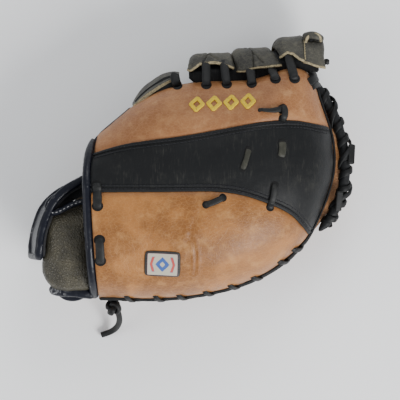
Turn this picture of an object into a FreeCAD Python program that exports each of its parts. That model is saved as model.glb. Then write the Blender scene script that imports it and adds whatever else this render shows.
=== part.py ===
"""Baseball catcher's mitt, closed and lying on the back of its thumb half.

The mitt is two padded halves joined by a web. The thumb half lies on the table, the web stands at the fold
side (+Y), and the finger half lies above it. The pocket for the ball is the hollow between the two palms,
and its mouth opens towards -Y. The wrist end is at -X and the tips are at +X. All sizes are in millimetres.

Each half is a stack of nested domes over one plan outline: back leather, hand cavity, lining, padding and
palm leather. A dome is a set of copies of the outline, scaled about the half's centre and raised on a
superellipse, so that one dome always fits inside another that is inset less and is taller.
"""
import FreeCAD, Part
import functools
import math
import os

V = FreeCAD.Vector

# ---- driving dimensions -------------------------------------------------------------------------------
FINGER_LENGTH = 115.0        # finger half, from its centre to the tip
FINGER_WIDTH = 95.0          # finger half, from its centre to the mouth edge
FINGER_HEIGHT = 60.0         # finger half, from its rim to the top of its back
THUMB_RIM = 44.0             # height of the thumb half's rim above the table
RIM_GAP = 7.0                # between the two rims when the mitt is closed
LEATHER = 2.6                # shell and palm leather
LINING = 1.5                 # soft lining leather
GAP = 0.4                    # between nested layers
FINGER_POCKET = 16.0         # hollow of the finger palm
THUMB_POCKET = 12.0          # hollow of the thumb palm
FINGER_PAD = 14.0            # felt in the finger half
THUMB_PAD = 9.0              # felt in the thumb half
LACE_WIDTH = 7.2             # leather lace, worn flat
LACE_THICK = 2.4
TIE_WIDTH = 5.4              # narrower lace that ties the stalls to the back
LACE_RADIUS = 2.2            # lace where it is drawn round an edge
WEB_RISE = 22.0              # half height of the web's bend
WEB_LEATHER = 3.0
STRAP_WIDTH = 38.0
STRAP_LEATHER = 3.0
STRAP_FLEECE = 2.6
STALL_WIDTH = 20.0
STALL_HEIGHT = 13.6
STALL_WALL = 1.2
TAIL_RADIUS = 2.6            # loose lace end at the heel

# ---- derived heights ----------------------------------------------------------------------------------
FINGER_RIM = THUMB_RIM + RIM_GAP
FOLD_Z = (THUMB_RIM + FINGER_RIM) / 2
DOME_POWER = 3.0
DOME_ROOT = 2.2
RINGS = (1.0, 0.992, 0.975, 0.945, 0.9, 0.835, 0.75, 0.64, 0.5, 0.33, 0.12)
FLAT_RINGS = (1.0, 0.992, 0.975, 0.945, 0.9, 0.835, 0.75, 0.64, 0.5)
FAR = 400.0                  # larger than the mitt, for cutting tools

# ---- plan outlines, as shares of the finger half's length and width about the centre -------------------
CENTRE = (-5.0, 10.0)
FINGER_OUTLINE = [
    (-1.22, 0.22), (-0.76, 0.455), (-0.452, 0.758), (-0.20, 0.916), (0.113, 0.979), (0.496, 1.01),
    (0.826, 1.074), (0.939, 0.80), (1.026, 0.474), (1.043, 0.21), (0.965, -0.158), (0.843, -0.442),
    (0.60, -0.721), (0.217, -0.916), (-0.304, -0.995), (-0.704, -0.979), (-1.17, -0.93), (-1.56, -0.72),
    (-1.72, -0.33), (-1.56, 0.03),
]
THUMB_OUTLINE = [
    (-1.12, 0.16), (-0.76, 0.40), (-0.496, 0.663), (-0.20, 0.853), (0.13, 0.905), (0.522, 0.926),
    (0.835, 0.937), (0.965, 0.747), (1.06, 0.474), (1.09, 0.21), (1.06, -0.063), (0.93, -0.326),
    (0.67, -0.60), (0.235, -0.826), (-0.304, -0.916), (-0.783, -0.916), (-1.20, -0.86), (-1.54, -0.66),
    (-1.68, -0.32), (-1.50, 0.0),
]


def plan(points):
    """Turns shares of length and width about the centre into plan points."""
    return [(CENTRE[0] + u * FINGER_LENGTH, CENTRE[1] + v * FINGER_WIDTH) for u, v in points]


# Single places are written in millimetres for these sizes, and move when the driving dimensions change.
DRAWN_LENGTH, DRAWN_WIDTH, DRAWN_HEIGHT, DRAWN_RIM = 115.0, 95.0, 60.0, 44.0


def at(x, y, *z):
    """A place in plan that follows the length and the width, with any height kept as it is."""
    return (CENTRE[0] + (x - CENTRE[0]) * FINGER_LENGTH / DRAWN_LENGTH,
            CENTRE[1] + (y - CENTRE[1]) * FINGER_WIDTH / DRAWN_WIDTH, *z)


def over(rise_mm):
    """A height given above the finger rim, which follows the height of the finger half."""
    return FINGER_RIM + rise_mm * FINGER_HEIGHT / DRAWN_HEIGHT


def under(height_mm):
    """A height given above the table, which follows the height of the thumb rim."""
    return height_mm * THUMB_RIM / DRAWN_RIM


# Lines across the mitt, as plan points that follow the same length and width.
FINGER_HEEL = plan([(-0.66, 0.60), (-0.716, 0.405), (-0.743, 0.22), (-0.747, 0.0),
                    (-0.738, -0.30), (-0.722, -0.60), (-0.69, -1.12)])
THUMB_HEEL = plan([(-0.64, 0.70), (-0.765, 0.42), (-0.817, 0.16), (-0.878, -0.105),
                   (-0.93, -0.42), (-0.948, -0.737), (-0.91, -1.12)])
UPPER_SEAM = plan([(-1.5, 0.16), (-0.809, 0.284), (-0.565, 0.363), (-0.113, 0.442), (0.357, 0.542),
                   (0.583, 0.579), (0.826, 0.574), (1.017, 0.516), (1.3, 0.42)])
LOWER_SEAM = plan([(-1.5, -0.02), (-0.809, -0.026), (-0.513, -0.024), (-0.104, -0.021), (0.183, -0.023),
                   (0.33, -0.047), (0.539, -0.126), (0.748, -0.263), (0.852, -0.432), (0.96, -0.66)])
THUMB_SEAM = plan([(-1.5, 0.10), (-0.80, 0.30), (-0.48, 0.44), (0.04, 0.56), (0.56, 0.60),
                   (0.92, 0.54), (1.3, 0.36)])


# ---- general shapes -----------------------------------------------------------------------------------
def spline(points, closed=False):
    """A smooth edge through the points."""
    curve = Part.BSplineCurve()
    curve.interpolate([V(*p) if len(p) == 3 else V(p[0], p[1], 0) for p in points], PeriodicFlag=closed)
    return curve


def ring(points, centre, scale, z):
    """The closed plan outline, scaled about its centre, at height z."""
    cx, cy = centre
    moved = [(cx + scale * (x - cx), cy + scale * (y - cy), z) for x, y in points]
    return Part.Wire(spline(moved, closed=True).toShape())


def rise(share):
    """Height of a dome, from 1 at its centre to 0 at its rim."""
    return (1 - share ** DOME_POWER) ** (1 / DOME_ROOT)


class Half:
    """One half of the mitt: an outline in plan, the height of its rim, and which way its back bulges."""

    def __init__(self, outline, rim, way, rings):
        self.points = plan(outline)
        self.rim = rim
        self.way = way
        self.rings = rings
        self.curve = spline(self.points, closed=True)
        self.radius = sum(math.dist(p, CENTRE) for p in self.points) / len(self.points)
        self.loop = [self.curve.value(self.curve.FirstParameter + k / 720 * self.span()) for k in range(720)]

    def span(self):
        return self.curve.LastParameter - self.curve.FirstParameter

    @functools.lru_cache(maxsize=None)
    def dome(self, inset, height, rings=None):
        """The solid dome whose outline is inset by that much and whose crown is that high."""
        scale = 1 - inset / self.radius
        wires = [ring(self.points, CENTRE, scale * s, self.rim + self.way * height * rise(s))
                 for s in rings or self.rings]
        return Part.makeLoft(wires, True, True)

    @functools.lru_cache(maxsize=None)
    def skin(self, crown, low, high):
        """A layer over a dome, from low to high above it."""
        return self.dome(-high, crown + high).cut(self.dome(-low, crown + low))

    def share(self, x, y):
        """How far out a plan point lies, from 0 at the centre to 1 on the outline."""
        angle = math.atan2(y - CENTRE[1], x - CENTRE[0])
        nearest = min(self.loop, key=lambda p: abs(math.remainder(
            math.atan2(p.y - CENTRE[1], p.x - CENTRE[0]) - angle, math.tau)))
        return math.dist((x, y), CENTRE) / math.dist((nearest.x, nearest.y), CENTRE)

    def height(self, x, y, crown):
        """Height of a dome of that crown above a plan point."""
        return self.rim + self.way * crown * rise(min(max(self.share(x, y), self.rings[-1]), 1.0))

    def walk(self, start, end, count, out=0.0):
        """Evenly spaced (point, outward, along) down the outline between two plan points, clockwise."""
        near = [min(range(720), key=lambda k: math.dist((self.loop[k].x, self.loop[k].y), p))
                for p in (start, end)]
        turn = (near[1] - near[0]) % 720
        found = []
        for k in range(count):
            i = (near[0] + turn * k / max(count - 1, 1)) % 720
            a, b = self.loop[int(i)], self.loop[(int(i) + 3) % 720]
            along = (b - a).normalize()
            outward = V(-along.y, along.x, 0)
            found.append((a + outward * out, outward, along))
        return found


def prism(points, z0=-FAR, z1=FAR):
    """A vertical block over a plan polygon."""
    loop = [V(x, y, z0) for x, y in points]
    return Part.Face(Part.makePolygon(loop + loop[:1])).extrude(V(0, 0, z1 - z0))


def beyond(line, side):
    """The vertical block on one side of a line that crosses the mitt along Y. side is +1 for the +X side."""
    edge = spline(line).discretize(40)
    return prism([(edge[0].x, FAR)] + [(p.x, p.y) for p in edge] + [
        (edge[-1].x, -FAR), (side * FAR, -FAR), (side * FAR, FAR)])


def ribbon(line, inner, outer, z0, z1):
    """A vertical wall along a plan line, from inner to outer to the left of its direction."""
    curve = spline(line)
    a, b = curve.FirstParameter, curve.LastParameter
    sides = []
    for offset in (inner, outer):
        side = []
        for k in range(25):
            u = a + (b - a) * k / 24
            p, t = curve.value(u), curve.tangent(u)[0]
            side.append(V(p.x - t.y * offset, p.y + t.x * offset, z0))
        sides.append(side)
    first, second = (spline([tuple(p) for p in s]).toShape() for s in sides)
    ends = [Part.makeLine(sides[0][k], sides[1][k]) for k in (0, -1)]
    wire = Part.Wire(Part.__sortEdges__([first, ends[1], second, ends[0]]))
    return Part.Face(wire).extrude(V(0, 0, z1 - z0))


def pebble(a, b, width, z0=-FAR, z1=FAR):
    """A vertical block with a round-ended plan, between plan points a and b."""
    r = width / 2
    solid = Part.makeCylinder(r, z1 - z0, V(a[0], a[1], z0)).fuse(
        Part.makeCylinder(r, z1 - z0, V(b[0], b[1], z0)))
    nx, ny = (b[1] - a[1]) / math.dist(a, b) * r, -(b[0] - a[0]) / math.dist(a, b) * r
    bar = prism([(a[0] + nx, a[1] + ny), (b[0] + nx, b[1] + ny), (b[0] - nx, b[1] - ny),
                 (a[0] - nx, a[1] - ny)], z0, z1)
    return solid.fuse(bar).removeSplitter()


def capsule(a, b, radius):
    """A round-ended bar between two points in space."""
    bar = Part.makeCylinder(radius, (b - a).Length, a, b - a)
    return bar.fuse([Part.makeSphere(radius, a), Part.makeSphere(radius, b)]).removeSplitter()


def tube(points, radius):
    """A round bar swept along a smooth line through the points."""
    curve = spline(points)
    start, way = curve.value(curve.FirstParameter), curve.tangent(curve.FirstParameter)[0]
    circle = Part.Wire(Part.makeCircle(radius, start, way))
    return Part.Wire(curve.toShape()).makePipeShell([circle], True, True)


def pillow(points, levels):
    """A soft block: its plan outline at each (height, scale), lofted."""
    n = len(points)
    centre = (sum(p[0] for p in points) / n, sum(p[1] for p in points) / n)
    return Part.makeLoft([ring(points, centre, scale, z) for z, scale in levels], True, False)


def solids_of(*shapes):
    """Every solid in the shapes, as one compound."""
    return Part.makeCompound([s for shape in shapes for s in shape.Solids])


FINGER = Half(FINGER_OUTLINE, FINGER_RIM, 1, RINGS)
THUMB = Half(THUMB_OUTLINE, THUMB_RIM, -1, FLAT_RINGS)
THUMB_HEIGHT = THUMB_RIM / rise(FLAT_RINGS[-1])      # the flat of the thumb back lies on the table
FINGER_KEEP = beyond(FINGER_HEEL, 1)
THUMB_KEEP = beyond(THUMB_HEEL, 1)


# ---- the two padded halves ----------------------------------------------------------------------------
def layers(half, back, pocket, pad, keep):
    """Back leather, lining, padding and palm leather of one half, trimmed at the wrist."""
    palm_edge = LEATHER * 2 + GAP * 2
    outer, inner = half.dome(0, back), half.dome(LEATHER, back - LEATHER)
    lining_top = pocket + LEATHER + GAP + pad + GAP + LINING
    lining = half.dome(LEATHER + GAP, lining_top, RINGS).cut(
        half.dome(LEATHER + 3 * GAP, lining_top - LINING, RINGS))
    padding = half.dome(LEATHER + 3 * GAP + 0.2, lining_top - LINING - GAP, RINGS).cut(
        half.dome(palm_edge - GAP, pocket + LEATHER + GAP, RINGS))
    palm = half.dome(palm_edge, pocket + LEATHER, RINGS).cut(
        half.dome(palm_edge + LEATHER, pocket, RINGS))
    return [shape.common(keep) for shape in (outer.cut(inner), lining, padding, palm)]


def on_back(half, crown, keep_in, low, high):
    """A layer that lies on a half's back, from low to high above the leather, inside a vertical block."""
    return half.skin(crown, low, high).common(keep_in)


def finger_panels(shell):
    """The finger back leather, cut along its two seams: the pinky side, the centre band, the index side."""
    seam = 0.3
    cuts = [ribbon(line, -seam / 2, seam / 2, -FAR, FAR) for line in (UPPER_SEAM, LOWER_SEAM)]
    return sorted(shell.cut(cuts).Solids, key=lambda s: s.CenterOfMass.y)


def thumb_panels(shell):
    """The thumb back leather, cut along its seam: the outer panel and the fold panel."""
    seam = 0.3
    return sorted(shell.cut(ribbon(THUMB_SEAM, -seam / 2, seam / 2, -FAR, FAR)).Solids,
                  key=lambda s: s.CenterOfMass.y)


def welt(half, crown, line, keep, crossings=()):
    """The rolled strip sewn into a seam: a low ridge along the line, let in where laces cross it."""
    width, proud = 3.0, 1.6
    ridge = on_back(half, crown, ribbon(line, -width / 2, width / 2, -FAR, FAR), 0.2, proud).common(keep)
    return ridge.cut(list(crossings)) if crossings else ridge


def heel_binding(half, crown, line, radius, clear):
    """Points along the rolled edge of the back leather at the wrist, just outside its trimmed end."""
    points = []
    for p in spline(line).discretize(60):
        if half.share(p.x, p.y) < 0.985:
            points.append((p.x - radius - clear, p.y, half.height(p.x, p.y, crown) - half.way * (radius + 0.5)))
    return points[:-1:4] + points[-1:]


def rim_binding(half, start, end, inset, z, radius):
    """The bound edge where the back and palm leathers meet, from one plan point to another."""
    points = [tuple(p + V(0, 0, z)) for p, _, _ in half.walk(start, end, 22, -inset)]
    return tube(points, radius)


def rim_lace(half, start, end, count, z, out, slant=35.0, length=12.0):
    """Lace drawn over the rim in slanting turns."""
    lean = math.radians(slant)
    bars = []
    for p, outward, along in half.walk(start, end, count, out + LACE_RADIUS):
        middle = p + V(0, 0, z)
        reach = (along * math.cos(lean) + V(0, 0, math.sin(lean))) * (length / 2 - LACE_RADIUS)
        bars.append(capsule(middle - reach, middle + reach, LACE_RADIUS))
    return Part.makeCompound(bars)


# ---- finger and thumb stalls --------------------------------------------------------------------------
def stall(x, y, z, length):
    """A soft tunnel for one finger: an elliptical sleeve, open at the hand and closed at the tip."""
    def sleeve(inset, start, end):
        ellipse = Part.Ellipse(V(0, 0, 0), STALL_WIDTH / 2 - inset, STALL_HEIGHT / 2 - inset)
        edge = ellipse.toShape()
        edge.rotate(V(0, 0, 0), V(1, 0, 0), 90)
        edge.rotate(V(0, 0, 0), V(0, 0, 1), 90)
        edge.translate(V(start, 0, 0))
        return Part.Face(Part.Wire(edge)).extrude(V(end - start, 0, 0))
    solid = sleeve(0, 0, length).cut(sleeve(STALL_WALL, -1, length - STALL_WALL))
    solid.translate(V(x, y, z))
    return solid


# ---- the web ------------------------------------------------------------------------------------------
# The web is a bent sheet: at each station along X its section is half an ellipse, centred at plan y and
# reaching out by the depth, and it opens towards the pocket.
WEB_STATIONS = [at(-14.0, 106.5, 12.5), at(12.0, 107.5, 16.5), at(45.0, 110.5, 18.5),
                at(78.0, 116.5, 20.0), at(92.0, 115.5, 26.0), at(104.0, 110.5, 32.0)]
TAB_SPANS = {"web_tab_base": (-8.0, 25.5), "web_tab_middle": (28.5, 65.5), "web_tab_tip": (67.5, 88.0),
             "web_end_band": (89.0, 104.0)}


def web_block(inset):
    """The solid inside the web's bend, inset by that much."""
    wires = []
    for x, y, depth in WEB_STATIONS:
        long_side, short_side = WEB_RISE - inset, depth - inset
        ellipse = Part.Ellipse(V(0, 0, 0), max(long_side, short_side), min(long_side, short_side)).toShape()
        if short_side < long_side:
            ellipse.rotate(V(0, 0, 0), V(0, 0, 1), 90)
        ellipse.rotate(V(0, 0, 0), V(1, 0, 0), 90)
        ellipse.rotate(V(0, 0, 0), V(0, 0, 1), 90)
        ellipse.translate(V(x, y, FOLD_Z))
        wires.append(Part.Wire(ellipse))
    return Part.makeLoft(wires, True, False)


def web_sheet(inset, thick):
    """One leather layer of the web."""
    outside = prism([(x, y) for x, y, _ in WEB_STATIONS] + [(WEB_STATIONS[-1][0], FAR),
                                                           (WEB_STATIONS[0][0], FAR)])
    return web_block(inset).cut(web_block(inset + thick)).common(outside)


def slab(x0, x1):
    """Everything between two places along X."""
    return Part.makeBox(x1 - x0, 2 * FAR, 2 * FAR, V(x0, -FAR, -FAR))


# ---- loose lace end -----------------------------------------------------------------------------------
TAIL_ROUTE = [at(-72.6, -89.6, under(41.6)), at(-70.5, -94.5, under(37.5)), at(-69.0, -99.5, under(31.0)),
              at(-69.0, -104.0, under(23.0)), at(-70.5, -108.0, under(15.0)), at(-73.5, -111.5, under(8.2)),
              at(-78.5, -114.5, 4.0), at(-85.0, -116.5, 2.8)]


def cord_path(points):
    """Straight runs joined by tangent arcs as large as the shorter of the two runs allows."""
    p = [V(*q) for q in points]
    edges, last, radii = [], p[0], []
    for a, b, c in zip(p, p[1:], p[2:]):
        u, w = (a - b).normalize(), (c - b).normalize()
        half_turn = (math.pi - u.getAngle(w)) / 2
        cut = 0.45 * min((a - b).Length, (c - b).Length)
        start, end = b + u * cut, b + w * cut
        radius = cut / math.tan(half_turn)
        towards = (u + w).normalize()
        middle = b + towards * (radius / math.cos(half_turn) - radius)
        edges += [Part.LineSegment(last, start).toShape(), Part.Arc(start, middle, end).toShape()]
        radii.append(round(radius, 1))
        last = end
    edges.append(Part.LineSegment(last, p[-1]).toShape())
    print("lace tail: length", round(sum(e.Length for e in edges), 1), "mm, bend radii", radii)
    return Part.Wire(edges)


def cord(points, radius):
    """A round cord along a path, with its volume checked against section times length."""
    path = cord_path(points)
    start, way = V(*points[0]), V(*points[1]) - V(*points[0])
    solid = path.makePipeShell([Part.Wire(Part.makeCircle(radius, start, way))], True, False)
    print("lace tail: volume over section times length",
          round(solid.Volume / (math.pi * radius ** 2 * path.Length), 3))
    return solid


# ---- assembly -----------------------------------------------------------------------------------------
def build():
    """Every named piece of the mitt, in its own place."""
    parts = {}
    crown, back = FINGER_HEIGHT, THUMB_HEIGHT

    # finger half
    shell, lining, padding, palm = layers(FINGER, crown, FINGER_POCKET, FINGER_PAD, FINGER_KEEP)
    names = ("finger_back_pinky_panel", "finger_back_centre_band", "finger_back_index_panel")
    parts.update(zip(names, finger_panels(shell)))
    parts["finger_lining"] = lining
    parts["finger_padding"] = padding
    parts["finger_palm"] = palm
    heel_roll = 3.3
    heel_line = heel_binding(FINGER, crown, FINGER_HEEL, heel_roll, 0.3)
    parts["finger_heel_binding"] = tube(heel_line, heel_roll)
    mouth_start, mouth_end = at(92, 111), at(-84, -83)
    parts["finger_rim_binding"] = rim_binding(FINGER, mouth_start, mouth_end, -0.4, FINGER_RIM - 1.6, 1.3)

    # laces on the back of the finger half, each a flat lace that dives through two holes
    ties = [(at(51.5, 78.5), at(68.0, 76.5)), (at(37.5, 25.5), at(41.0, 43.0)),
            (at(67.5, 36.5), at(68.0, 49.5)), (at(58.5, -7.0), at(62.0, 11.5)), (at(5.0, -4.0), at(19.0, 2.5))]
    heel_loops = [(at(-86.0, 11.5), at(-84.5, -4.5)), (at(-83.8, -33.0), at(-82.4, -50.5))]
    for name, runs, width in (("stall_tie_laces", ties, TIE_WIDTH), ("heel_laces", heel_loops, LACE_WIDTH)):
        parts[name] = solids_of(*[on_back(FINGER, crown, pebble(a, b, width), 0.2, LACE_THICK)
                                  for a, b in runs])
    crossings = [pebble(a, b, TIE_WIDTH + 2 * GAP) for a, b in ties]
    crossings += [pebble(a, b, LACE_WIDTH + 2 * GAP) for a, b in heel_loops]
    parts["upper_welt"] = welt(FINGER, crown, UPPER_SEAM, FINGER_KEEP)
    parts["lower_welt"] = welt(FINGER, crown, LOWER_SEAM, FINGER_KEEP, crossings)
    lace = rim_lace(FINGER, at(86, -41), at(-60, -84), 8, FINGER_RIM + 3.0, 0.5)
    parts["finger_rim_lace"] = solids_of(lace.cut(parts["finger_rim_binding"]))

    # badge and embroidery, both plain motifs
    badge = at(-32.0, -53.5)
    plate = pebble((badge[0] - 8, badge[1]), (badge[0] + 8, badge[1]), 20.0).common(
        Part.makeBox(29.6, 20.0, 2 * FAR, V(badge[0] - 14.8, badge[1] - 10.0, -FAR)))
    parts["badge"] = on_back(FINGER, crown, plate, 0.2, 1.0)
    w, h = 5.6, 6.2
    motifs = []
    for k in range(4):
        x, y = at(-2.0 + 14.6 * k, 80.5 + 0.9 * k)
        motifs.append(on_back(FINGER, crown, prism([(x - w, y), (x, y + h), (x + w, y), (x, y - h)]), 0.2, 0.9))
    parts["embroidery"] = solids_of(*motifs)

    # finger stalls, on the lining
    stall_z = FINGER_RIM + FINGER_POCKET + LEATHER + FINGER_PAD + 2 * GAP + LINING + STALL_HEIGHT / 2 + 0.3
    for name, x, y, length in (("little", -12, -37.0, 37), ("ring", -14, -16.5, 60),
                               ("middle", -16, 5.0, 70), ("index", -18, 26.5, 66)):
        parts[name + "_finger_stall"] = stall(*at(x, y), stall_z, length)

    # padded heel beside the wrist opening
    plan_points = [(-90, -1), (-111, -7), (-124, -15), (-128.5, -27), (-130, -42), (-131, -53),
                   (-134, -62), (-132.5, -69), (-122, -75), (-104, -76), (-84, -76), (-82, -40)]
    levels = [(3, 0.80), (6, 0.92), (12, 1.0), (20, 1.0), (27, 0.92), (31, 0.80), (33, 0.62)]
    cushion = pillow([at(*p) for p in plan_points], [(over(z), scale) for z, scale in levels])
    wrist_clear = 0.6
    outside = beyond([(x - wrist_clear, y) for x, y in FINGER_HEEL], -1)
    top_roll = 2.6
    top_line = [at(-95.0, 4.4, over(29)), at(-103.0, 1.2, over(28.8)), at(-111.0, -3.6, over(28)),
                at(-118.0, -9.0, over(27)), at(-122.5, -15.0, over(25))]
    parts["heel_cushion"] = cushion.common(outside).cut(
        [tube(heel_line, heel_roll + GAP), tube(top_line, top_roll + GAP)])
    parts["cushion_lower_binding"] = tube(
        [at(-123, -79.5, over(11)), at(-109, -80.6, over(11.5)), at(-95.5, -81.8, over(12))], 3.7)
    parts["cushion_upper_binding"] = tube(top_line, top_roll)
    parts["wrist_tongue"] = ribbon([at(-97.0, 9.5), at(-106, 5.0), at(-115.5, -4.0)], -2.0, 2.0,
                                   over(4), over(21))

    # thumb half
    shell, lining, padding, palm = layers(THUMB, back, THUMB_POCKET, THUMB_PAD, THUMB_KEEP)
    parts.update(zip(("thumb_back_panel", "thumb_fold_panel"), thumb_panels(shell)))
    parts["thumb_lining"] = lining
    parts["thumb_padding"] = padding
    parts["thumb_palm"] = palm
    off_table = Part.makeBox(2 * FAR, 2 * FAR, FAR, V(-FAR, -FAR, 0.5))
    roll_start, roll_end, roll = at(104, 92), at(100, -33), 4.1
    roll_room = rim_binding(THUMB, roll_start, roll_end, -(roll + GAP), THUMB_RIM - 0.4, roll + 2.9)
    parts["thumb_welt"] = welt(THUMB, back, THUMB_SEAM, THUMB_KEEP, [roll_room]).common(off_table)
    thumb_roll = 3.0
    thumb_line = heel_binding(THUMB, back, THUMB_HEEL, thumb_roll, 0.3)
    parts["thumb_heel_binding"] = tube(thumb_line, thumb_roll)
    parts["thumb_rim_binding"] = rim_binding(THUMB, at(92, -38), at(-100, -77), -0.4, THUMB_RIM + 1.6, 1.3)
    parts["thumb_rim_lace"] = solids_of(
        rim_lace(THUMB, at(70, -48), at(-85, -77), 8, THUMB_RIM - 4.0, 0.5).cut(parts["thumb_rim_binding"]))
    parts["tip_roll"] = rim_binding(THUMB, roll_start, roll_end, -(roll + GAP), THUMB_RIM - 0.4, roll)
    turns = []
    for p, outward, along in THUMB.walk(at(112, 80), at(112, -18), 9, roll + GAP):
        lean = (along + V(0, 0, 0.5)).normalize()
        hoop = Part.makeTorus(roll + 1.3, 1.1, V(p.x, p.y, THUMB_RIM - 0.4), lean)
        turns.append(hoop)
    wrapped = Part.makeCompound(turns).cut([THUMB.dome(-0.3, back + 0.3), FINGER.dome(-0.3, crown)])
    parts["tip_roll_lace"] = solids_of(wrapped.cut(parts["tip_roll"]))
    parts["thumb_stall"] = stall(*at(-70, -8), under(10.4), 78)
    plan_points = [(-104, -4), (-116, -8), (-123, -24), (-125, -45), (-123, -63), (-112, -70), (-104, -66),
                   (-100, -35)]
    levels = [(22, 0.8), (25, 0.94), (31, 1.0), (38, 0.94), (42, 0.8)]
    pad = pillow([at(*p) for p in plan_points], [(under(z), scale) for z, scale in levels])
    outside = beyond([(x - wrist_clear, y) for x, y in THUMB_HEEL], -1)
    parts["thumb_heel_pad"] = pad.common(outside).cut(tube(thumb_line, thumb_roll + GAP))

    # web and fold
    parts["web_panel"] = web_sheet(WEB_LEATHER + GAP, WEB_LEATHER)
    outer = web_sheet(0, WEB_LEATHER)
    for name, (x0, x1) in TAB_SPANS.items():
        parts[name] = outer.common(slab(at(x0, 0)[0], at(x1, 0)[0]))
    parts["fold_roll"] = tube([at(x, y, FOLD_Z) for x, y in ((-92, 45), (-84, 54.5), (-71, 66), (-59, 76))],
                              RIM_GAP / 2 - 0.7)
    parts["web_base_strap"] = ribbon([at(-61, 85.0), at(-49, 93.5), at(-36, 101.0), at(-24, 106.0), at(-17, 105.5)],
                                     -2.3, 2.3, FOLD_Z - 13, FOLD_Z + 13)

    # laces between the web and each half
    web_ties = [at(x, 0)[0] for x in (3.0, 21.0, 33.0, 58.0, 74.0)]
    for half, name, crown_height in ((FINGER, "finger_web_laces", crown), (THUMB, "thumb_web_laces", back)):
        bars = []
        for x in web_ties:
            edge = max((p for p in half.loop if abs(p.x - x) < 3), key=lambda p: p.y).y
            station = web_edge(x)
            hole = V(x, edge - 4.0, half.height(x, edge - 4.0, crown_height) + half.way * 1.2)
            end = V(x, station - 3.8, FOLD_Z + half.way * (WEB_RISE - 1.0))
            bars.append(capsule(hole, end, LACE_RADIUS))
        parts[name] = solids_of(Part.makeCompound(bars).cut(half.dome(-0.3, crown_height + 0.3)))

    # lace knots and ends
    parts["web_lace_knot"] = Part.makeSphere(2.8, V(*at(104.0, 117.5), FOLD_Z + 5) + V(3.4, 0, 0))
    parts["tip_lace_ends"] = solids_of(*[
        Part.makeBox(5.6, 17.0, LACE_THICK, V(*place)).cut(parts["tip_roll_lace"])
        for place in (at(126.0, 30.0, THUMB_RIM - 4.8 - LACE_THICK), at(114.5, -10.0, THUMB_RIM + 4.2))])
    knot = V(*at(-74.0, -87.0, under(44.0)))
    start, way = V(*TAIL_ROUTE[0]), V(*TAIL_ROUTE[1]) - V(*TAIL_ROUTE[0])
    stub = capsule(knot, V(*at(-74.0, -80.5, under(42.0))), LACE_RADIUS)
    parts["heel_lace_knot"] = Part.makeSphere(4.6, knot).fuse(stub).cut(
        Part.makeCylinder(12, 12, start, way)).cut(THUMB.dome(-0.3, back + 0.3)).Solids[0]

    # wrist strap
    strap_low = FOLD_Z - 1.5
    path = [at(-99.5, 18.0), at(-110.0, 12.6), at(-121.5, 3.2), at(-131.5, -10.5), at(-136.5, -28.0),
            at(-138.3, -50.0)]
    parts["wrist_strap"] = ribbon(path, -STRAP_LEATHER - 0.1, -0.1, strap_low, strap_low + STRAP_WIDTH)
    parts["strap_fleece"] = ribbon(path, 0.1, STRAP_FLEECE + 0.1, strap_low + 2, strap_low + STRAP_WIDTH - 2)

    parts["heel_lace_tail"] = cord(TAIL_ROUTE, TAIL_RADIUS)
    return parts


def web_edge(x):
    """Plan y of the web's laced edges at a place along X."""
    for (x0, y0, _), (x1, y1, _) in zip(WEB_STATIONS, WEB_STATIONS[1:]):
        if x0 <= x <= x1:
            return y0 + (y1 - y0) * (x - x0) / (x1 - x0)
    raise ValueError("no web there")


CORD_NODES = ("heel_lace_tail",)


def origin_shift(parts):
    """Moves the frame's origin to the middle of the mitt's box, on the table."""
    box = FreeCAD.BoundBox()
    for name, shape in parts.items():
        if name not in CORD_NODES:
            box.add(shape.optimalBoundingBox(True))
    return V(-(box.XMin + box.XMax) / 2, -(box.YMin + box.YMax) / 2, -box.ZMin)


def main():
    os.makedirs("parts", exist_ok=True)
    parts = build()
    shift = origin_shift(parts)
    print("origin shift", tuple(round(c, 3) for c in shift))
    for name, shape in parts.items():
        shape.translate(shift)
        bad = [s for s in shape.Solids if not s.isValid() or s.Volume <= 0]
        print(f"{name:28s} solids {len(shape.Solids):2d} volume {shape.Volume / 1000:8.2f} cm3",
              "INVALID" if bad or not shape.Solids else "")
        shape.exportStep(f"parts/{name}.step")
    return parts, shift


if __name__ == "__main__":
    main()
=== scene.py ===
"""Looks of a closed catcher's mitt: panels, seams, laces, web, bindings and padding round the CAD frame.

Shapes are worked out in millimetres in the frame of the CAD model and put into meshes in metres. The two
padded halves are domes over a plan outline: a point's share is how far out it lies, from 0 at the centre to
1 on the outline, and the leather's height above the rim is crown * (1 - share ** 3) ** (1 / 2.2).
"""
import math

import bpy
import numpy as np
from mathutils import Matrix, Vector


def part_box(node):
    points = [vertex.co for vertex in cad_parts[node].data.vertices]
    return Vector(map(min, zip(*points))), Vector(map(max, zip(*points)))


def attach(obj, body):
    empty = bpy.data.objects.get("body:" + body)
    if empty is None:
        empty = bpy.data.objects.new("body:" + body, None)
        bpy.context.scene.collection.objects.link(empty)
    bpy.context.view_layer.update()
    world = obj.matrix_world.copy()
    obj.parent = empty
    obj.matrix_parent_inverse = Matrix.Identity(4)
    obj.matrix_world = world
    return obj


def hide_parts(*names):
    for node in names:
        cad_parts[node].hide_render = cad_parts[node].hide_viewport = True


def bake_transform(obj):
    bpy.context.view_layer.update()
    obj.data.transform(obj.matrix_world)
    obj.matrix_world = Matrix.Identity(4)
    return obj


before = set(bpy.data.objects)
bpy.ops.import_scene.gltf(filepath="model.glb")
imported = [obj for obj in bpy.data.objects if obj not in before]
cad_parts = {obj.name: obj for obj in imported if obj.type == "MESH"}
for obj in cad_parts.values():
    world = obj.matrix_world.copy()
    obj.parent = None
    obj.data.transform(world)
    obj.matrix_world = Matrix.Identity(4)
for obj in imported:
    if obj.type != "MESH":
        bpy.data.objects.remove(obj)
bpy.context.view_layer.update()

bl_info = {
    "name": "Catcher's mitt maker",
    "version": (1, 0, 0),
    "blender": (4, 5, 0),
    "location": "3D View > Sidebar > Mitt",
    "description": "Leather, laces, web and padding of a closed catcher's mitt",
    "category": "Add Mesh",
}

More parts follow.
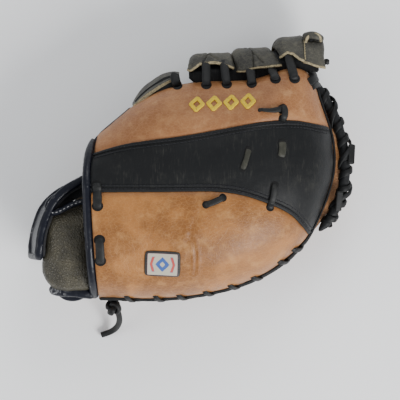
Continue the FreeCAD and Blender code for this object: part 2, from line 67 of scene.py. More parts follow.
MM = 0.001


# ---- places taken from the frame, in millimetres ------------------------------------------------------
def node_box(name):
    """Lowest and highest corner of a CAD node, in millimetres."""
    low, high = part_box(name)
    return np.array(low) / MM, np.array(high) / MM


CENTRE = np.array([-0.1, -15.67])
LENGTH, WIDTH = 115.0, 95.0
FINGER_RIM = node_box("finger_palm")[0][2]
THUMB_RIM = node_box("thumb_palm")[1][2]
FOLD_Z = (FINGER_RIM + THUMB_RIM) / 2
BACK_TOP = node_box("finger_back_centre_band")[1][2]
DOME_POWER, DOME_ROOT = 3.0, 2.2
FLAT_SHARE = 0.5
LEATHER = 2.4
LACE_THICK = 2.6
FULL = 2 * math.pi
QUARTER = 1.57
CLOTH_FRAMES = 20
RIM_POINTS = 420
FOLD_INSET = 1.4             # how far the web's straps lie inside its bend
FLOOR_REACH = 3000.0
SENSOR_WIDTH = 36.0

FINGER_OUTLINE = [
    (-1.22, 0.22), (-0.76, 0.455), (-0.452, 0.758), (-0.20, 0.916), (0.113, 0.979), (0.496, 1.01),
    (0.826, 1.074), (0.939, 0.80), (1.026, 0.474), (1.043, 0.21), (0.965, -0.158), (0.843, -0.442),
    (0.60, -0.721), (0.217, -0.916), (-0.304, -0.995), (-0.704, -0.979), (-1.17, -0.93), (-1.56, -0.72),
    (-1.72, -0.33), (-1.56, 0.03),
]
THUMB_OUTLINE = [
    (-1.12, 0.16), (-0.76, 0.40), (-0.496, 0.663), (-0.20, 0.853), (0.13, 0.905), (0.522, 0.926),
    (0.835, 0.937), (0.965, 0.747), (1.06, 0.474), (1.09, 0.21), (1.06, -0.063), (0.93, -0.326),
    (0.67, -0.60), (0.235, -0.826), (-0.304, -0.916), (-0.783, -0.916), (-1.20, -0.86), (-1.54, -0.66),
    (-1.68, -0.32), (-1.50, 0.0),
]
FINGER_HEEL = [(-0.66, 0.60), (-0.716, 0.405), (-0.743, 0.22), (-0.747, 0.0), (-0.738, -0.30),
               (-0.722, -0.60), (-0.69, -1.12)]
THUMB_HEEL = [(-0.60, 0.70), (-0.68, 0.42), (-0.735, 0.16), (-0.84, -0.105), (-0.93, -0.42),
              (-0.948, -0.737), (-0.91, -1.12)]
UPPER_SEAM = [(-1.5, 0.16), (-0.809, 0.284), (-0.565, 0.363), (-0.113, 0.442), (0.357, 0.542),
              (0.583, 0.579), (0.826, 0.574), (1.017, 0.516), (1.3, 0.42)]
LOWER_SEAM = [(-1.5, -0.02), (-0.809, -0.026), (-0.513, -0.024), (-0.104, -0.021), (0.183, -0.023),
              (0.33, -0.047), (0.539, -0.126), (0.748, -0.263), (0.852, -0.432), (0.96, -0.66)]
THUMB_SEAM = [(-1.5, 0.10), (-0.80, 0.30), (-0.48, 0.44), (0.04, 0.56), (0.56, 0.60), (0.92, 0.54),
              (1.3, 0.36)]
WEB_STATIONS = np.array([(-9.1, 80.8, 12.5), (16.9, 81.8, 16.5), (49.9, 84.8, 18.5), (82.9, 90.8, 20.0),
                         (96.9, 89.8, 26.0), (108.9, 84.8, 32.0)])
WEB_RISE = 22.0
TAIL_ROUTE = [(-67.7, -115.27, 41.6), (-65.6, -120.17, 37.5), (-64.1, -125.17, 31.0),
              (-64.1, -129.67, 23.0), (-65.6, -133.67, 15.0), (-68.6, -137.17, 8.2),
              (-73.6, -140.17, 4.0), (-80.1, -142.17, 2.8)]
SHIFT = CENTRE - np.array([-5.0, 10.0])


def plan(shares):
    """Shares of length and width about the centre, as plan points."""
    return CENTRE + np.array(shares) * (LENGTH, WIDTH)


def at(x, y):
    """A plan point given from the mitt's own middle line."""
    return np.array([x, y]) + SHIFT


# ---- arrays of points ---------------------------------------------------------------------------------
def unit(v):
    return v / np.maximum(np.linalg.norm(v, axis=-1, keepdims=True), 1e-9)


def even(points, count):
    """The same line, with count points a constant distance apart."""
    step = np.concatenate([[0], np.cumsum(np.linalg.norm(np.diff(points, axis=0), axis=1))])
    where = np.linspace(0, step[-1], count)
    return np.stack([np.interp(where, step, points[:, k]) for k in range(points.shape[1])], axis=1)


def curve(points, count, closed=False):
    """Cubic spline through the points, by chord length, with even steps.

    The second derivatives m solve h0 m0 + 2 (h0 + h1) m1 + h1 m2 = 6 (slope1 - slope0) at each point, with
    m = 0 at free ends, or with equal ends on a closed line.
    """
    p = np.asarray(points, float)
    if closed:
        p = np.vstack([p, p[:1]])
    t = np.concatenate([[0], np.cumsum(np.linalg.norm(np.diff(p, axis=0), axis=1))])
    h, n = np.diff(t), len(p)
    slope = np.diff(p, axis=0) / h[:, None]
    inner = np.arange(1, n - 1)
    system, wanted = np.zeros((n, n)), np.zeros_like(p)
    system[inner, inner - 1] = h[inner - 1]
    system[inner, inner] = 2 * (h[inner - 1] + h[inner])
    system[inner, inner + 1] = h[inner]
    wanted[inner] = 6 * (slope[inner] - slope[inner - 1])
    system[0, 0] = system[-1, -1] = 1
    if closed:
        system[-1, 0] = -1
        system[0, [0, 1, -2]] = 2 * (h[0] + h[-1]), h[0], h[-1]
        wanted[0] = 6 * (slope[0] - slope[-1])
    m = np.linalg.solve(system, wanted)
    u = np.linspace(0, t[-1], 60 * n)
    i = np.clip(np.searchsorted(t, u, "right") - 1, 0, n - 2)
    a, b, w = (t[i + 1] - u)[:, None], (u - t[i])[:, None], h[i][:, None]
    line = (m[i] * a ** 3 + m[i + 1] * b ** 3) / (6 * w) + (p[i] / w - m[i] * w / 6) * a + (
        p[i + 1] / w - m[i + 1] * w / 6) * b
    return even(line, count)


LATTICE = np.random.default_rng(7).random((48, 48, 48))


def rumple(points, size, seed=0):
    """Smooth value noise from -1 to 1: random numbers on a lattice of that size, blended by smoothstep."""
    q = points / size + np.array([3.1, 7.7, 1.9]) * (seed + 1)
    cell = np.floor(q).astype(int)
    f = q - cell
    f = f * f * (3 - 2 * f)
    total = 0.0
    for corner in np.ndindex(2, 2, 2):
        weight = np.prod([f[..., k] if c else 1 - f[..., k] for k, c in enumerate(corner)], axis=0)
        index = [(cell[..., k] + c) % 48 for k, c in enumerate(corner)]
        total = total + weight * LATTICE[tuple(index)]
    return 2 * total - 1


def near(d, width):
    """1 on a line, falling to 0 over about that width."""
    return np.exp(-(d / width) ** 2)


def rise(share):
    return (1 - np.clip(share, 0, 1) ** DOME_POWER) ** (1 / DOME_ROOT)


# ---- the padded halves --------------------------------------------------------------------------------
class Half:
    """Outline, rim height, way the back bulges, crown height, and the share inside which the back is flat.

    The leather's edge lies a little inside the outline, where the binding starts.
    """

    def __init__(self, outline, rim, way, crown, flat, inset, seams):
        self.rim, self.way, self.crown, self.flat = rim, way, crown, flat
        loop = curve(plan(outline), 1441, closed=True)[:-1]
        arm = loop - CENTRE
        self.loop = CENTRE + arm * (1 - inset / np.linalg.norm(arm, axis=1, keepdims=True))
        self.seams = [curve(plan(seam), 260) for seam in seams]
        arm = self.loop - CENTRE
        order = np.argsort(np.arctan2(arm[:, 1], arm[:, 0]))
        self.angles = np.arctan2(arm[:, 1], arm[:, 0])[order]
        self.radii = np.linalg.norm(arm, axis=1)[order]

    def share(self, xy):
        arm = xy - CENTRE
        edge = np.interp(np.arctan2(arm[..., 1], arm[..., 0]), self.angles, self.radii, period=FULL)
        return np.linalg.norm(arm, axis=-1) / edge

    def height(self, xy, crown=None):
        crown = self.crown if crown is None else crown
        return self.rim + self.way * crown * rise(np.maximum(self.share(xy), self.flat))

    def seam_distance(self, xy):
        gaps = [np.min(np.linalg.norm(xy[..., None, :] - seam, axis=-1), axis=-1) for seam in self.seams]
        return np.minimum.reduce(gaps)

    def swell(self, p):
        """How far the leather stands off the dome: swollen inside each panel, drawn down at the seams except
        close to the rim, and rumpled by noise of three sizes."""
        d = self.seam_distance(p[..., :2])
        drawn = np.clip((1 - self.share(p[..., :2])) / 0.10, 0, 1)
        puff = bpy.context.scene.mitt_sizes.puff * (1.0 if self.way > 0 else 0.5)
        lift = puff * (1 - near(d, 12.0) * drawn) - 1.7 * near(d, 2.6) * drawn
        return lift + 0.5 * rumple(p, 30.0, 1) + 0.2 * rumple(p, 10.0, 2) + 0.06 * rumple(p, 3.2, 3)

    def on(self, xy, lift=0.0):
        """Points of the back leather over plan points, lifted along its normal, and the normals."""
        xy, d = np.asarray(xy, float), 0.4
        dx = (self.height(xy + (d, 0)) - self.height(xy - (d, 0))) / (2 * d)
        dy = (self.height(xy + (0, d)) - self.height(xy - (0, d))) / (2 * d)
        normal = self.way * unit(np.stack([-dx, -dy, np.ones_like(dx)], axis=-1))
        p = np.concatenate([xy, self.height(xy)[..., None]], axis=-1)
        return p + (lift + self.swell(p))[..., None] * normal, normal

    def nearest(self, xy):
        return int(np.argmin(np.linalg.norm(self.loop - np.asarray(xy), axis=1)))

    def edge(self, start, end, count):
        """The outline from one plan point to another, clockwise."""
        i, j = self.nearest(start), self.nearest(end)
        picked = self.loop[(i + np.arange((j - i) % len(self.loop) + 1)) % len(self.loop)]
        return even(picked, count)


THUMB_CROWN = THUMB_RIM / (1 - FLAT_SHARE ** DOME_POWER) ** (1 / DOME_ROOT)
FINGER = Half(FINGER_OUTLINE, FINGER_RIM, 1, BACK_TOP - FINGER_RIM - 1.0, 0.0, 3.0, (UPPER_SEAM, LOWER_SEAM))
THUMB = Half(THUMB_OUTLINE, THUMB_RIM, -1, THUMB_CROWN, FLAT_SHARE, 1.5, (THUMB_SEAM,))


def crossing(first, second):
    """Indices of the closest points of two lines."""
    gap = np.linalg.norm(first[:, None] - second[None], axis=-1)
    return np.unravel_index(np.argmin(gap), gap.shape)


def between(line, start_line, end_line):
    """The part of a line from one crossing line to another, ended on a point of the other."""
    a, (b, last) = crossing(line, start_line)[0], crossing(line, end_line)
    part = line[a:b + 1] if a < b else line[b:a + 1][::-1]
    return even(np.vstack([part[:-1], end_line[last]]), 400)


def coons(bottom, top, left, right, u, v):
    """A surface between four lines: the two ruled surfaces between facing lines, less the corner blend."""
    def along(line, t):
        s = np.linspace(0, 1, len(line))
        return np.stack([np.interp(t, s, line[:, k]) for k in range(2)], axis=1)
    b, t = along(bottom, u)[:, None], along(top, u)[:, None]
    l, r = along(left, v)[None], along(right, v)[None]
    u, v = u[:, None, None], v[None, :, None]
    corners = ((1 - u) * (1 - v) * bottom[0] + u * (1 - v) * bottom[-1] + (1 - u) * v * top[0]
               + u * v * top[-1])
    return (1 - v) * b + v * t + (1 - u) * l + u * r - corners


def crowd(count, start, end):
    """Steps from 0 to 1, closer together towards an end that lies on the steep rim."""
    t = np.linspace(0, 1, count)
    if start and end:
        return 0.5 + 0.5 * np.sign(t - 0.5) * (1 - (1 - np.abs(2 * t - 1)) ** 1.9)
    if start:
        return t ** 1.9
    return 1 - (1 - t) ** 1.9 if end else t


def grid_normals(p, towards):
    """Normals of a grid of points, turned so that they mostly face along towards."""
    n = unit(np.cross(np.gradient(p, axis=0), np.gradient(p, axis=1)))
    return n if np.sum(n * towards) > 0 else -n


def route(points, count, z=0.0):
    """A smooth line through points given from the mitt's own middle line, raised by z."""
    return curve(np.array(points, float) + (*SHIFT, z), count)


# ---- meshes -------------------------------------------------------------------------------------------
class Shape:
    """Gathers vertex and face arrays, and makes them one object in metres."""

    def __init__(self):
        self.points, self.quads, self.tris, self.values, self.count = [], [], [], [], 0

    def add(self, points, quads=(), tris=(), value=None):
        points = np.asarray(points, float).reshape(-1, 3)
        self.points.append(points)
        self.values.append(np.zeros(len(points)) if value is None else np.asarray(value, float).ravel())
        for faces, size, kept in ((quads, 4, self.quads), (tris, 3, self.tris)):
            if len(faces):
                kept.append(np.asarray(faces, int).reshape(-1, size) + self.count)
        self.count += len(points)
        return self

    def grid(self, p, around=False, value=None):
        """A grid of points as quads. around joins the last column to the first."""
        nu, nv = p.shape[:2]
        i, j = np.meshgrid(np.arange(nu - 1), np.arange(nv if around else nv - 1), indexing="ij")
        k = (j + 1) % nv
        quads = np.stack([i * nv + j, (i + 1) * nv + j, (i + 1) * nv + k, i * nv + k], axis=-1)
        return self.add(p, quads.reshape(-1, 4), value=value)

    def tube(self, rings, value=None):
        """Rings of points joined into a closed skin, with a point at each end."""
        n, m = rings.shape[:2]
        ends = np.stack([rings[0].mean(axis=0), rings[-1].mean(axis=0)])
        i, j = np.meshgrid(np.arange(n - 1), np.arange(m), indexing="ij")
        k = (j + 1) % m
        quads = np.stack([i * m + j, i * m + k, (i + 1) * m + k, (i + 1) * m + j], axis=-1).reshape(-1, 4)
        j = np.arange(m)
        k, last = (j + 1) % m, (n - 1) * m
        tris = np.concatenate([np.stack([np.full(m, n * m), k, j], axis=1),
                               np.stack([np.full(m, n * m + 1), last + j, last + k], axis=1)])
        if value is not None:
            value = np.concatenate([np.ravel(value), [0, 0]])
        return self.add(np.concatenate([rings.reshape(-1, 3), ends]), quads, tris, value)

    def make(self, name, material, *extra):
        points = np.concatenate(self.points) * MM
        faces = [f for f in (self.quads, self.tris) if f]
        arrays = [np.concatenate(f) for f in faces]
        mesh = bpy.data.meshes.new(name)
        mesh.vertices.add(len(points))
        mesh.vertices.foreach_set("co", points.astype(np.float32).ravel())
        loops = np.concatenate([a.ravel() for a in arrays])
        sizes = np.concatenate([np.full(len(a), a.shape[1]) for a in arrays])
        mesh.loops.add(len(loops))
        mesh.loops.foreach_set("vertex_index", loops.astype(np.int32))
        mesh.polygons.add(len(sizes))
        mesh.polygons.foreach_set("loop_start", (np.cumsum(sizes) - sizes).astype(np.int32))
        mesh.polygons.foreach_set("loop_total", sizes.astype(np.int32))
        mesh.polygons.foreach_set("use_smooth", np.ones(len(sizes), bool))
        mark = mesh.attributes.new("mark", "FLOAT", "POINT")
        mark.data.foreach_set("value", np.concatenate(self.values).astype(np.float32))
        mesh.update(calc_edges=True)
        mesh.validate()
        for m in (material, *extra):
            mesh.materials.append(m)
        piece = bpy.data.objects.new(name, mesh)
        bpy.context.scene.collection.objects.link(piece)
        return piece


def profile(width, thick, count=14, square=0.65):
    """A flat oval with full sides: a superellipse whose points are |cos| and |sin| to a power."""
    a = np.arange(count) / count * FULL
    c, s = np.cos(a), np.sin(a)
    return np.stack([np.sign(c) * np.abs(c) ** square * width / 2,
                     np.sign(s) * np.abs(s) ** square * thick / 2], axis=1)


def sweep(path, ring, up, size=1.0, blunt=4, reach=None):
    """Rings that carry a profile along a path, square to it, with rounded ends.

    Each end gets blunt more rings, shrunk by the cosine and pushed out by the sine of equal angles.
    """
    path = np.asarray(path, float)
    way = unit(np.gradient(path, axis=0))
    side = unit(np.cross(way, np.broadcast_to(up, path.shape)))
    top = np.cross(side, way)
    size = np.broadcast_to(np.asarray(size, float), (len(path),))
    rings = path[:, None] + size[:, None, None] * (
        side[:, None] * ring[None, :, :1] + top[:, None] * ring[None, :, 1:])
    reach = np.abs(ring[:, 1]).max() if reach is None else reach
    angles = (np.arange(blunt) + 1) / (blunt + 0.35) * math.pi / 2

    def cap(k, sign):
        shrink, push = np.cos(angles)[:, None, None], np.sin(angles)[:, None, None] * reach * size[k]
        return path[k] + (rings[k] - path[k]) * shrink + sign * way[k] * push
    return np.concatenate([cap(0, -1)[::-1], rings, cap(-1, 1)])


def round_bar(path, radius, count=16, wobble=0.05, seed=0, grain=6.0):
    """A rolled leather bar: a round profile whose size wanders a little along it."""
    path = np.asarray(path, float)
    size = 1 + wobble * rumple(path, grain, seed)
    return sweep(path, profile(2 * radius, 2 * radius, count, 1.0), (0, 0, 1), size)


def add_stitches(shape, path, up, pitch=3.0, length=2.1, thick=0.7):
    """Short round-ended threads along a path: one small closed thread, turned to the path at each place."""
    total = np.linalg.norm(np.diff(path, axis=0), axis=1).sum()
    count = max(int(total / pitch), 2)
    fine = even(np.concatenate([path, np.broadcast_to(up, path.shape)], axis=1), count)
    where, high = fine[:, :3], unit(fine[:, 3:])
    way = unit(np.gradient(where, axis=0))
    axes = np.stack([way, unit(np.cross(way, high)), high], axis=1)
    run = np.linspace(-0.5, 0.5, 5)
    base = np.stack([run * length, 0 * run, thick * (0.25 - 2.4 * np.abs(run) ** 3)], axis=1)
    thread = Shape().tube(sweep(base, profile(thick, thick * 0.8, 6, 1.0), (0, 0, 1), blunt=1))
    local = thread.points[0]
    points = where[:, None] + np.einsum("pk,nkj->npj", local, axes)
    steps = np.arange(count)[:, None, None] * len(local)
    return shape.add(points, (thread.quads[0] + steps).reshape(-1, 4),
                     (thread.tris[0] + steps).reshape(-1, 3))


def face_rows(piece, what):
    """The centre or the normal of each face, one row each."""
    rows = np.empty(len(piece.data.polygons) * 3, np.float32)
    piece.data.polygons.foreach_get(what, rows)
    return rows.reshape(-1, 3)


def facing(piece, towards):
    """Turns a sheet's faces over if they mostly point away from a direction, or from one for each face."""
    if np.sum(face_rows(piece, "normal") * towards) < 0:
        piece.data.flip_normals()
    return piece


def thicken(piece, thick, offset, rim_slot=0):
    """Gives a sheet its leather's thickness. rim_slot counts on to the material of the cut edge."""
    solid = piece.modifiers.new("leather", "SOLIDIFY")
    solid.thickness = thick * MM
    solid.offset = offset
    solid.use_even_offset = False
    solid.material_offset_rim = rim_slot
    return piece


# ---- materials ----------------------------------------------------------------------------------------
class Signal:
    """A shader socket that takes part in Python expressions."""

    def __init__(self, shader, socket):
        self.shader, self.socket = shader, socket

    def math(self, operation, *others, flip=False):
        values = [self, *others]
        if flip:
            values.reverse()
        return self.shader.node("ShaderNodeMath", {k: v for k, v in enumerate(values)}, operation=operation)

    def __add__(self, other):
        return self.math("ADD", other)

    def __mul__(self, other):
        return self.math("MULTIPLY", other)

    def __sub__(self, other):
        return self.math("SUBTRACT", other)

    def __rsub__(self, other):
        return self.math("SUBTRACT", other, flip=True)

    def __pow__(self, other):
        return self.math("POWER", other)

    __radd__, __rmul__ = __add__, __mul__

    def ramp(self, low, high):
        """0 below low, 1 above high, smooth between."""
        return self.shader.node("ShaderNodeMapRange", {"Value": self, "From Min": low, "From Max": high},
                                interpolation_type="SMOOTHSTEP")


class Shader:
    """One material's nodes."""

    def __init__(self, name, colour):
        self.material = bpy.data.materials.new(name)
        self.material.use_nodes = True
        self.material.diffuse_color = (*colour, 1)
        self.tree = self.material.node_tree
        self.surface = self.tree.nodes["Principled BSDF"]
        self.place = self.node("ShaderNodeTexCoord", {}, out="Object")

    def node(self, kind, sockets, out=0, **settings):
        made = self.tree.nodes.new(kind)
        for key, value in settings.items():
            setattr(made, key, value)
        for key, value in sockets.items():
            self.put(made.inputs[key], value)
        return Signal(self, made.outputs[out])

    def put(self, socket, value):
        if isinstance(value, Signal):
            self.tree.links.new(value.socket, socket)
        else:
            socket.default_value = value

    def set(self, **values):
        for key, value in values.items():
            self.put(self.surface.inputs[key.replace("_", " ")], value)

    def noise(self, scale, detail=3.0, rough=0.55, place=None, distortion=0.0):
        sockets = {"Vector": place or self.place, "Scale": scale, "Detail": detail, "Roughness": rough,
                   "Distortion": distortion}
        return self.node("ShaderNodeTexNoise", sockets, out="Fac")

    def cells(self, scale, feature="DISTANCE_TO_EDGE", place=None):
        return self.node("ShaderNodeTexVoronoi", {"Vector": place or self.place, "Scale": scale},
                         out="Distance", feature=feature)

    def stretched(self, scale, turn=(0, 0, 0)):
        return self.node("ShaderNodeMapping", {"Vector": self.place, "Scale": scale, "Rotation": turn})

    def mix(self, factor, a, b):
        """Two colours mixed. A Mix node's colour sockets are its inputs 6 and 7 and its output 2."""
        return self.node("ShaderNodeMix", {0: factor, 6: self.colour(a), 7: self.colour(b)}, out=2,
                         data_type="RGBA")

    def colour(self, value):
        return value if isinstance(value, Signal) else (*value, 1)

    def bump(self, height, strength, distance, under=None):
        sockets = {"Height": height, "Strength": strength, "Distance": distance * MM}
        if under is not None:
            sockets["Normal"] = under
        return self.node("ShaderNodeBump", sockets)


def smooth_leather(name, colour, dark, light, rough=0.5, coat=0.12, mottle=26.0, grain=900.0, depth=0.35):
    """Worn full-grain leather: broad stains, paler rubbed patches, fine creases and a pebble grain."""
    s = Shader(name, colour)
    broad = s.noise(mottle, 4, 0.6, distortion=0.6)
    patches = s.noise(mottle * 3.4, 3, 0.6)
    creases = s.cells(260.0, place=s.stretched((1, 1.6, 1), (0, 0, 0.5)))
    pores = s.cells(grain)
    edge = s.node("ShaderNodeAttribute", {}, out="Fac", attribute_name="mark")
    base = s.mix(broad.ramp(0.38, 0.68), dark, colour)
    base = s.mix(patches.ramp(0.5, 0.78) * 0.55, base, light)
    base = s.mix((1 - creases.ramp(0.0, 0.09)) * 0.28, base, light)
    base = s.mix(edge.ramp(0.1, 1.0) * 0.5, base, dark)
    bump = s.bump(pores.ramp(0.0, 0.3), depth, 0.25)
    bump = s.bump(creases.ramp(0.0, 0.12), depth * 0.8, 0.3, bump)
    bump = s.bump(patches, depth, 0.6, bump)
    s.set(Base_Color=base, Roughness=rough + 0.16 * (broad - 0.5) + 0.12 * (patches - 0.5),
          Coat_Weight=coat, Coat_Roughness=0.34, Normal=bump, Specular_IOR_Level=0.32)
    return s.material


def black_leather(name, colour, scuff, stroke=(1.0, 0.1, 0.3), rough=0.46, coat=0.06):
    """Black leather with brushed scuffs along one way and greyed high spots."""
    s = Shader(name, colour)
    strokes = s.noise(900.0, 3, 0.6, place=s.stretched(stroke))
    patches = s.noise(55.0, 4, 0.62)
    pores = s.cells(1000.0)
    mask = strokes.ramp(0.5, 0.78) * patches.ramp(0.35, 0.75)
    base = s.mix(mask * 0.75, colour, scuff)
    base = s.mix(patches.ramp(0.55, 0.85) * 0.35, base, scuff)
    bump = s.bump(pores.ramp(0.0, 0.3), 0.3, 0.2)
    bump = s.bump(strokes, 0.25, 0.2, bump)
    s.set(Base_Color=base, Roughness=rough + 0.3 * (mask - 0.2), Coat_Weight=coat, Coat_Roughness=0.4,
          Specular_IOR_Level=0.16, Normal=bump)
    return s.material


def rolled_leather(name, colour, worn, rough=0.36, coat=0.07, flecks=0.69):
    """Tight glossy binding with pale flecks where the finish has rubbed off, most of all where mark is 1."""
    s = Shader(name, colour)
    edge = s.node("ShaderNodeAttribute", {}, out="Fac", attribute_name="mark")
    fleck = s.noise(210.0, 4, 0.7, distortion=1.2)
    spots = s.noise(46.0, 2, 0.5)
    fine = s.noise(900.0, 2, 0.5)
    mask = fleck.ramp(flecks - 0.08, flecks + 0.04) * spots.ramp(0.42, 0.62)
    mask = mask + fleck.ramp(0.42, 0.66) * edge * 0.75
    bump = s.bump(s.noise(300.0, 3, 0.6), 0.5, 0.4)
    s.set(Base_Color=s.mix(mask, s.mix(fine.ramp(0.4, 0.8) * 0.4, colour, [c * 1.8 for c in colour]), worn),
          Roughness=rough + 0.4 * mask + 0.12 * (fine - 0.5), Coat_Weight=coat, Coat_Roughness=0.25,
          Specular_IOR_Level=0.22, Normal=bump)
    return s.material


def pebbled_leather(name, colour, dark, light, cell=330.0, rough=0.5, coat=0.25, depth=0.9):
    """Soft leather with a raised pebble: rounded cells whose tops are painted lighter as a painted highlight,
    which leaves painted shade in the valleys between them.
    """
    s = Shader(name, colour)
    warp = s.noise(60.0, 3, 0.6)
    pebble = s.cells(cell)
    small = s.cells(cell * 2.3)
    height = pebble.ramp(0.0, 0.34) + small.ramp(0.0, 0.3) * 0.35
    base = s.mix(warp.ramp(0.35, 0.7), dark, colour)
    # painted highlight: the pebble tops are mixed towards the light colour, leaving painted shade in the
    # valleys between them
    base = s.mix(pebble.ramp(0.1, 0.5) * 0.4, base, light)
    s.set(Base_Color=base, Roughness=rough + 0.2 * (warp - 0.5) - 0.08 * pebble.ramp(0.0, 0.4),
          Coat_Weight=coat, Coat_Roughness=0.3, Specular_IOR_Level=0.38, Normal=s.bump(height, depth, 0.5))
    return s.material


def lace_leather(name, colour, light):
    """Rawhide lace: greased, with fine long scratches and lighter rubbed edges."""
    s = Shader(name, colour)
    rub = s.noise(160.0, 4, 0.6)
    fine = s.noise(1500.0, 2, 0.5)
    base = s.mix(rub.ramp(0.45, 0.8) * 0.7, colour, light)
    s.set(Base_Color=base, Roughness=0.55 + 0.25 * (rub - 0.5), Coat_Weight=0.03, Coat_Roughness=0.4,
          Specular_IOR_Level=0.25, Normal=s.bump(fine + rub, 0.45, 0.3))
    return s.material


def raw_edge(name, colour, dark):
    """Cut leather edge: undyed fibres with dark specks."""
    s = Shader(name, colour)
    fibre = s.noise(700.0, 4, 0.7)
    s.set(Base_Color=s.mix(fibre.ramp(0.35, 0.65), dark, colour), Roughness=0.85,
          Normal=s.bump(fibre, 0.6, 0.3))
    return s.material


def cloth(name, colour, dark, scale=1400.0, rough=0.9, sheen=0.3):
    """Felt, fleece or woven tape: fine matted fibres."""
    s = Shader(name, colour)
    fibre = s.noise(scale, 4, 0.7)
    s.set(Base_Color=s.mix(fibre.ramp(0.3, 0.7), dark, colour), Roughness=rough, Sheen_Weight=sheen,
          Normal=s.bump(fibre, 0.7, 0.3))
    return s.material


def satin_thread(name, colour, dark, turn=0.6):
    """Satin stitch: close parallel threads with a soft sheen."""
    s = Shader(name, colour)
    wave = s.node("ShaderNodeTexWave", {"Vector": s.stretched((1, 1, 1), (0, 0, turn)), "Scale": 420.0,
                                        "Distortion": 0.6}, out="Fac", bands_direction="X")
    s.set(Base_Color=s.mix(wave.ramp(0.1, 0.7), dark, colour), Roughness=0.5, Specular_IOR_Level=0.25,
          Normal=s.bump(wave, 0.6, 0.25))
    return s.material


def badge_weave(name, field, lozenge, chevron, border):
    """Woven badge. Its mark attribute is 0 on the field, 1 on the lozenge, 2 on chevrons, 3 at the edge."""
    s = Shader(name, field)
    zone = s.node("ShaderNodeAttribute", {}, out="Fac", attribute_name="mark")
    weave = s.node("ShaderNodeTexWave", {"Vector": s.place, "Scale": 500.0, "Distortion": 0.4}, out="Fac",
                   bands_direction="Y")
    wear = s.noise(300.0, 3, 0.6)
    base = s.mix(zone.ramp(0.45, 0.55), field, lozenge)
    base = s.mix(zone.ramp(1.45, 1.55), base, chevron)
    base = s.mix(zone.ramp(2.45, 2.55), base, border)
    base = s.mix(wear.ramp(0.55, 0.8) * 0.25, base, (0.3, 0.27, 0.2))
    s.set(Base_Color=base, Roughness=0.5, Normal=s.bump(weave, 0.5, 0.2))
    return s.material


MATERIALS = {}


def paint():
    """Every finish of the mitt, made once from the colours in the panel."""
    if MATERIALS:
        return MATERIALS
    c = bpy.context.scene.mitt_colours
    tan, pale = tuple(c.tan), tuple(c.pale_tan)
    black, navy, olive, cord = tuple(c.black), tuple(c.navy), tuple(c.olive), tuple(c.lace)
    MATERIALS.update(
        tan=smooth_leather("tan_leather", tan, (0.205, 0.078, 0.017), (0.47, 0.235, 0.08), 0.42, 0.08),
        pale=smooth_leather("pale_tan_leather", pale, (0.25, 0.10, 0.034), (0.46, 0.25, 0.11), 0.52, 0.03),
        palm=smooth_leather("palm_leather", tan, (0.20, 0.09, 0.035), (0.55, 0.33, 0.16), 0.5, 0.12),
        black=black_leather("black_leather", black, (0.052, 0.051, 0.043), rough=0.52, coat=0.02),
        navy=rolled_leather("navy_binding", navy, (0.42, 0.42, 0.42)),
        welt=rolled_leather("seam_welt", black, (0.04, 0.04, 0.044), 0.58, 0.0, 0.66),
        # olive padding: the second colour is a random mottle, the third is the painted highlight on the
        # pebble tops
        olive=pebbled_leather("olive_padding", olive, [v * 0.45 for v in olive], [v * 1.8 for v in olive],
                              430.0, 0.46, 0.12, 1.0),
        strap=smooth_leather("olive_strap", (0.062, 0.059, 0.046), (0.026, 0.025, 0.021), (0.14, 0.13, 0.095),
                             0.62, 0.05, 40.0, 800.0, 0.5),
        lace=lace_leather("lace", cord, (0.026, 0.026, 0.023)),
        lace_olive=lace_leather("faded_lace", (0.026, 0.026, 0.019), (0.075, 0.072, 0.052)),
        lace_web=lace_leather("web_lace", [v * 0.8 for v in cord], (0.020, 0.021, 0.024)),
        lace_dark=lace_leather("rim_lace", [v * 0.6 for v in cord], (0.016, 0.017, 0.020)),
        raw=raw_edge("cut_edge", (0.42, 0.35, 0.20), (0.16, 0.13, 0.08)),
        black_thread=satin_thread("black_thread", (0.016, 0.017, 0.02), (0.006, 0.006, 0.008)),
        tan_thread=satin_thread("gold_seam_thread", (0.45, 0.38, 0.22), (0.2, 0.16, 0.09)),
        gold=satin_thread("gold_thread", tuple(c.thread), [v * 0.6 for v in c.thread]),
        white_thread=satin_thread("white_thread", (0.5, 0.5, 0.5), (0.2, 0.2, 0.2)),
        lining=smooth_leather("lining_leather", (0.14, 0.10, 0.065), (0.05, 0.035, 0.025), (0.25, 0.19, 0.12),
                              0.7, 0.0, 40.0, 1100.0, 0.3),
        felt=cloth("wool_felt", (0.17, 0.145, 0.11), (0.09, 0.075, 0.058), sheen=0.05),
        fleece=cloth("black_fleece", (0.014, 0.014, 0.017), (0.004, 0.004, 0.005), 900.0, sheen=0.05),
        # painted shade: near-black for the inside of holes and slots
        hole=cloth("hole_shadow", (0.003, 0.003, 0.003), (0.001, 0.001, 0.001), rough=1.0, sheen=0.0),
        badge=badge_weave("badge_weave", (0.44, 0.41, 0.32), (0.03, 0.09, 0.32), (0.48, 0.06, 0.04),
                          (0.02, 0.018, 0.016)),
    )
    return MATERIALS


def ready(piece, body, slot, *nodes):
    """Rides a piece on its body and hides the CAD nodes that it stands for. Its slot argument is not used."""
    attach(piece, body)
    if nodes:
        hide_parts(*nodes)
    return piece


def bar(name, finish, rings, body, slot, *nodes):
    """A piece that is one closed bar or lace."""
    return ready(Shape().tube(rings).make(name, MATERIALS[finish]), body, slot, *nodes)


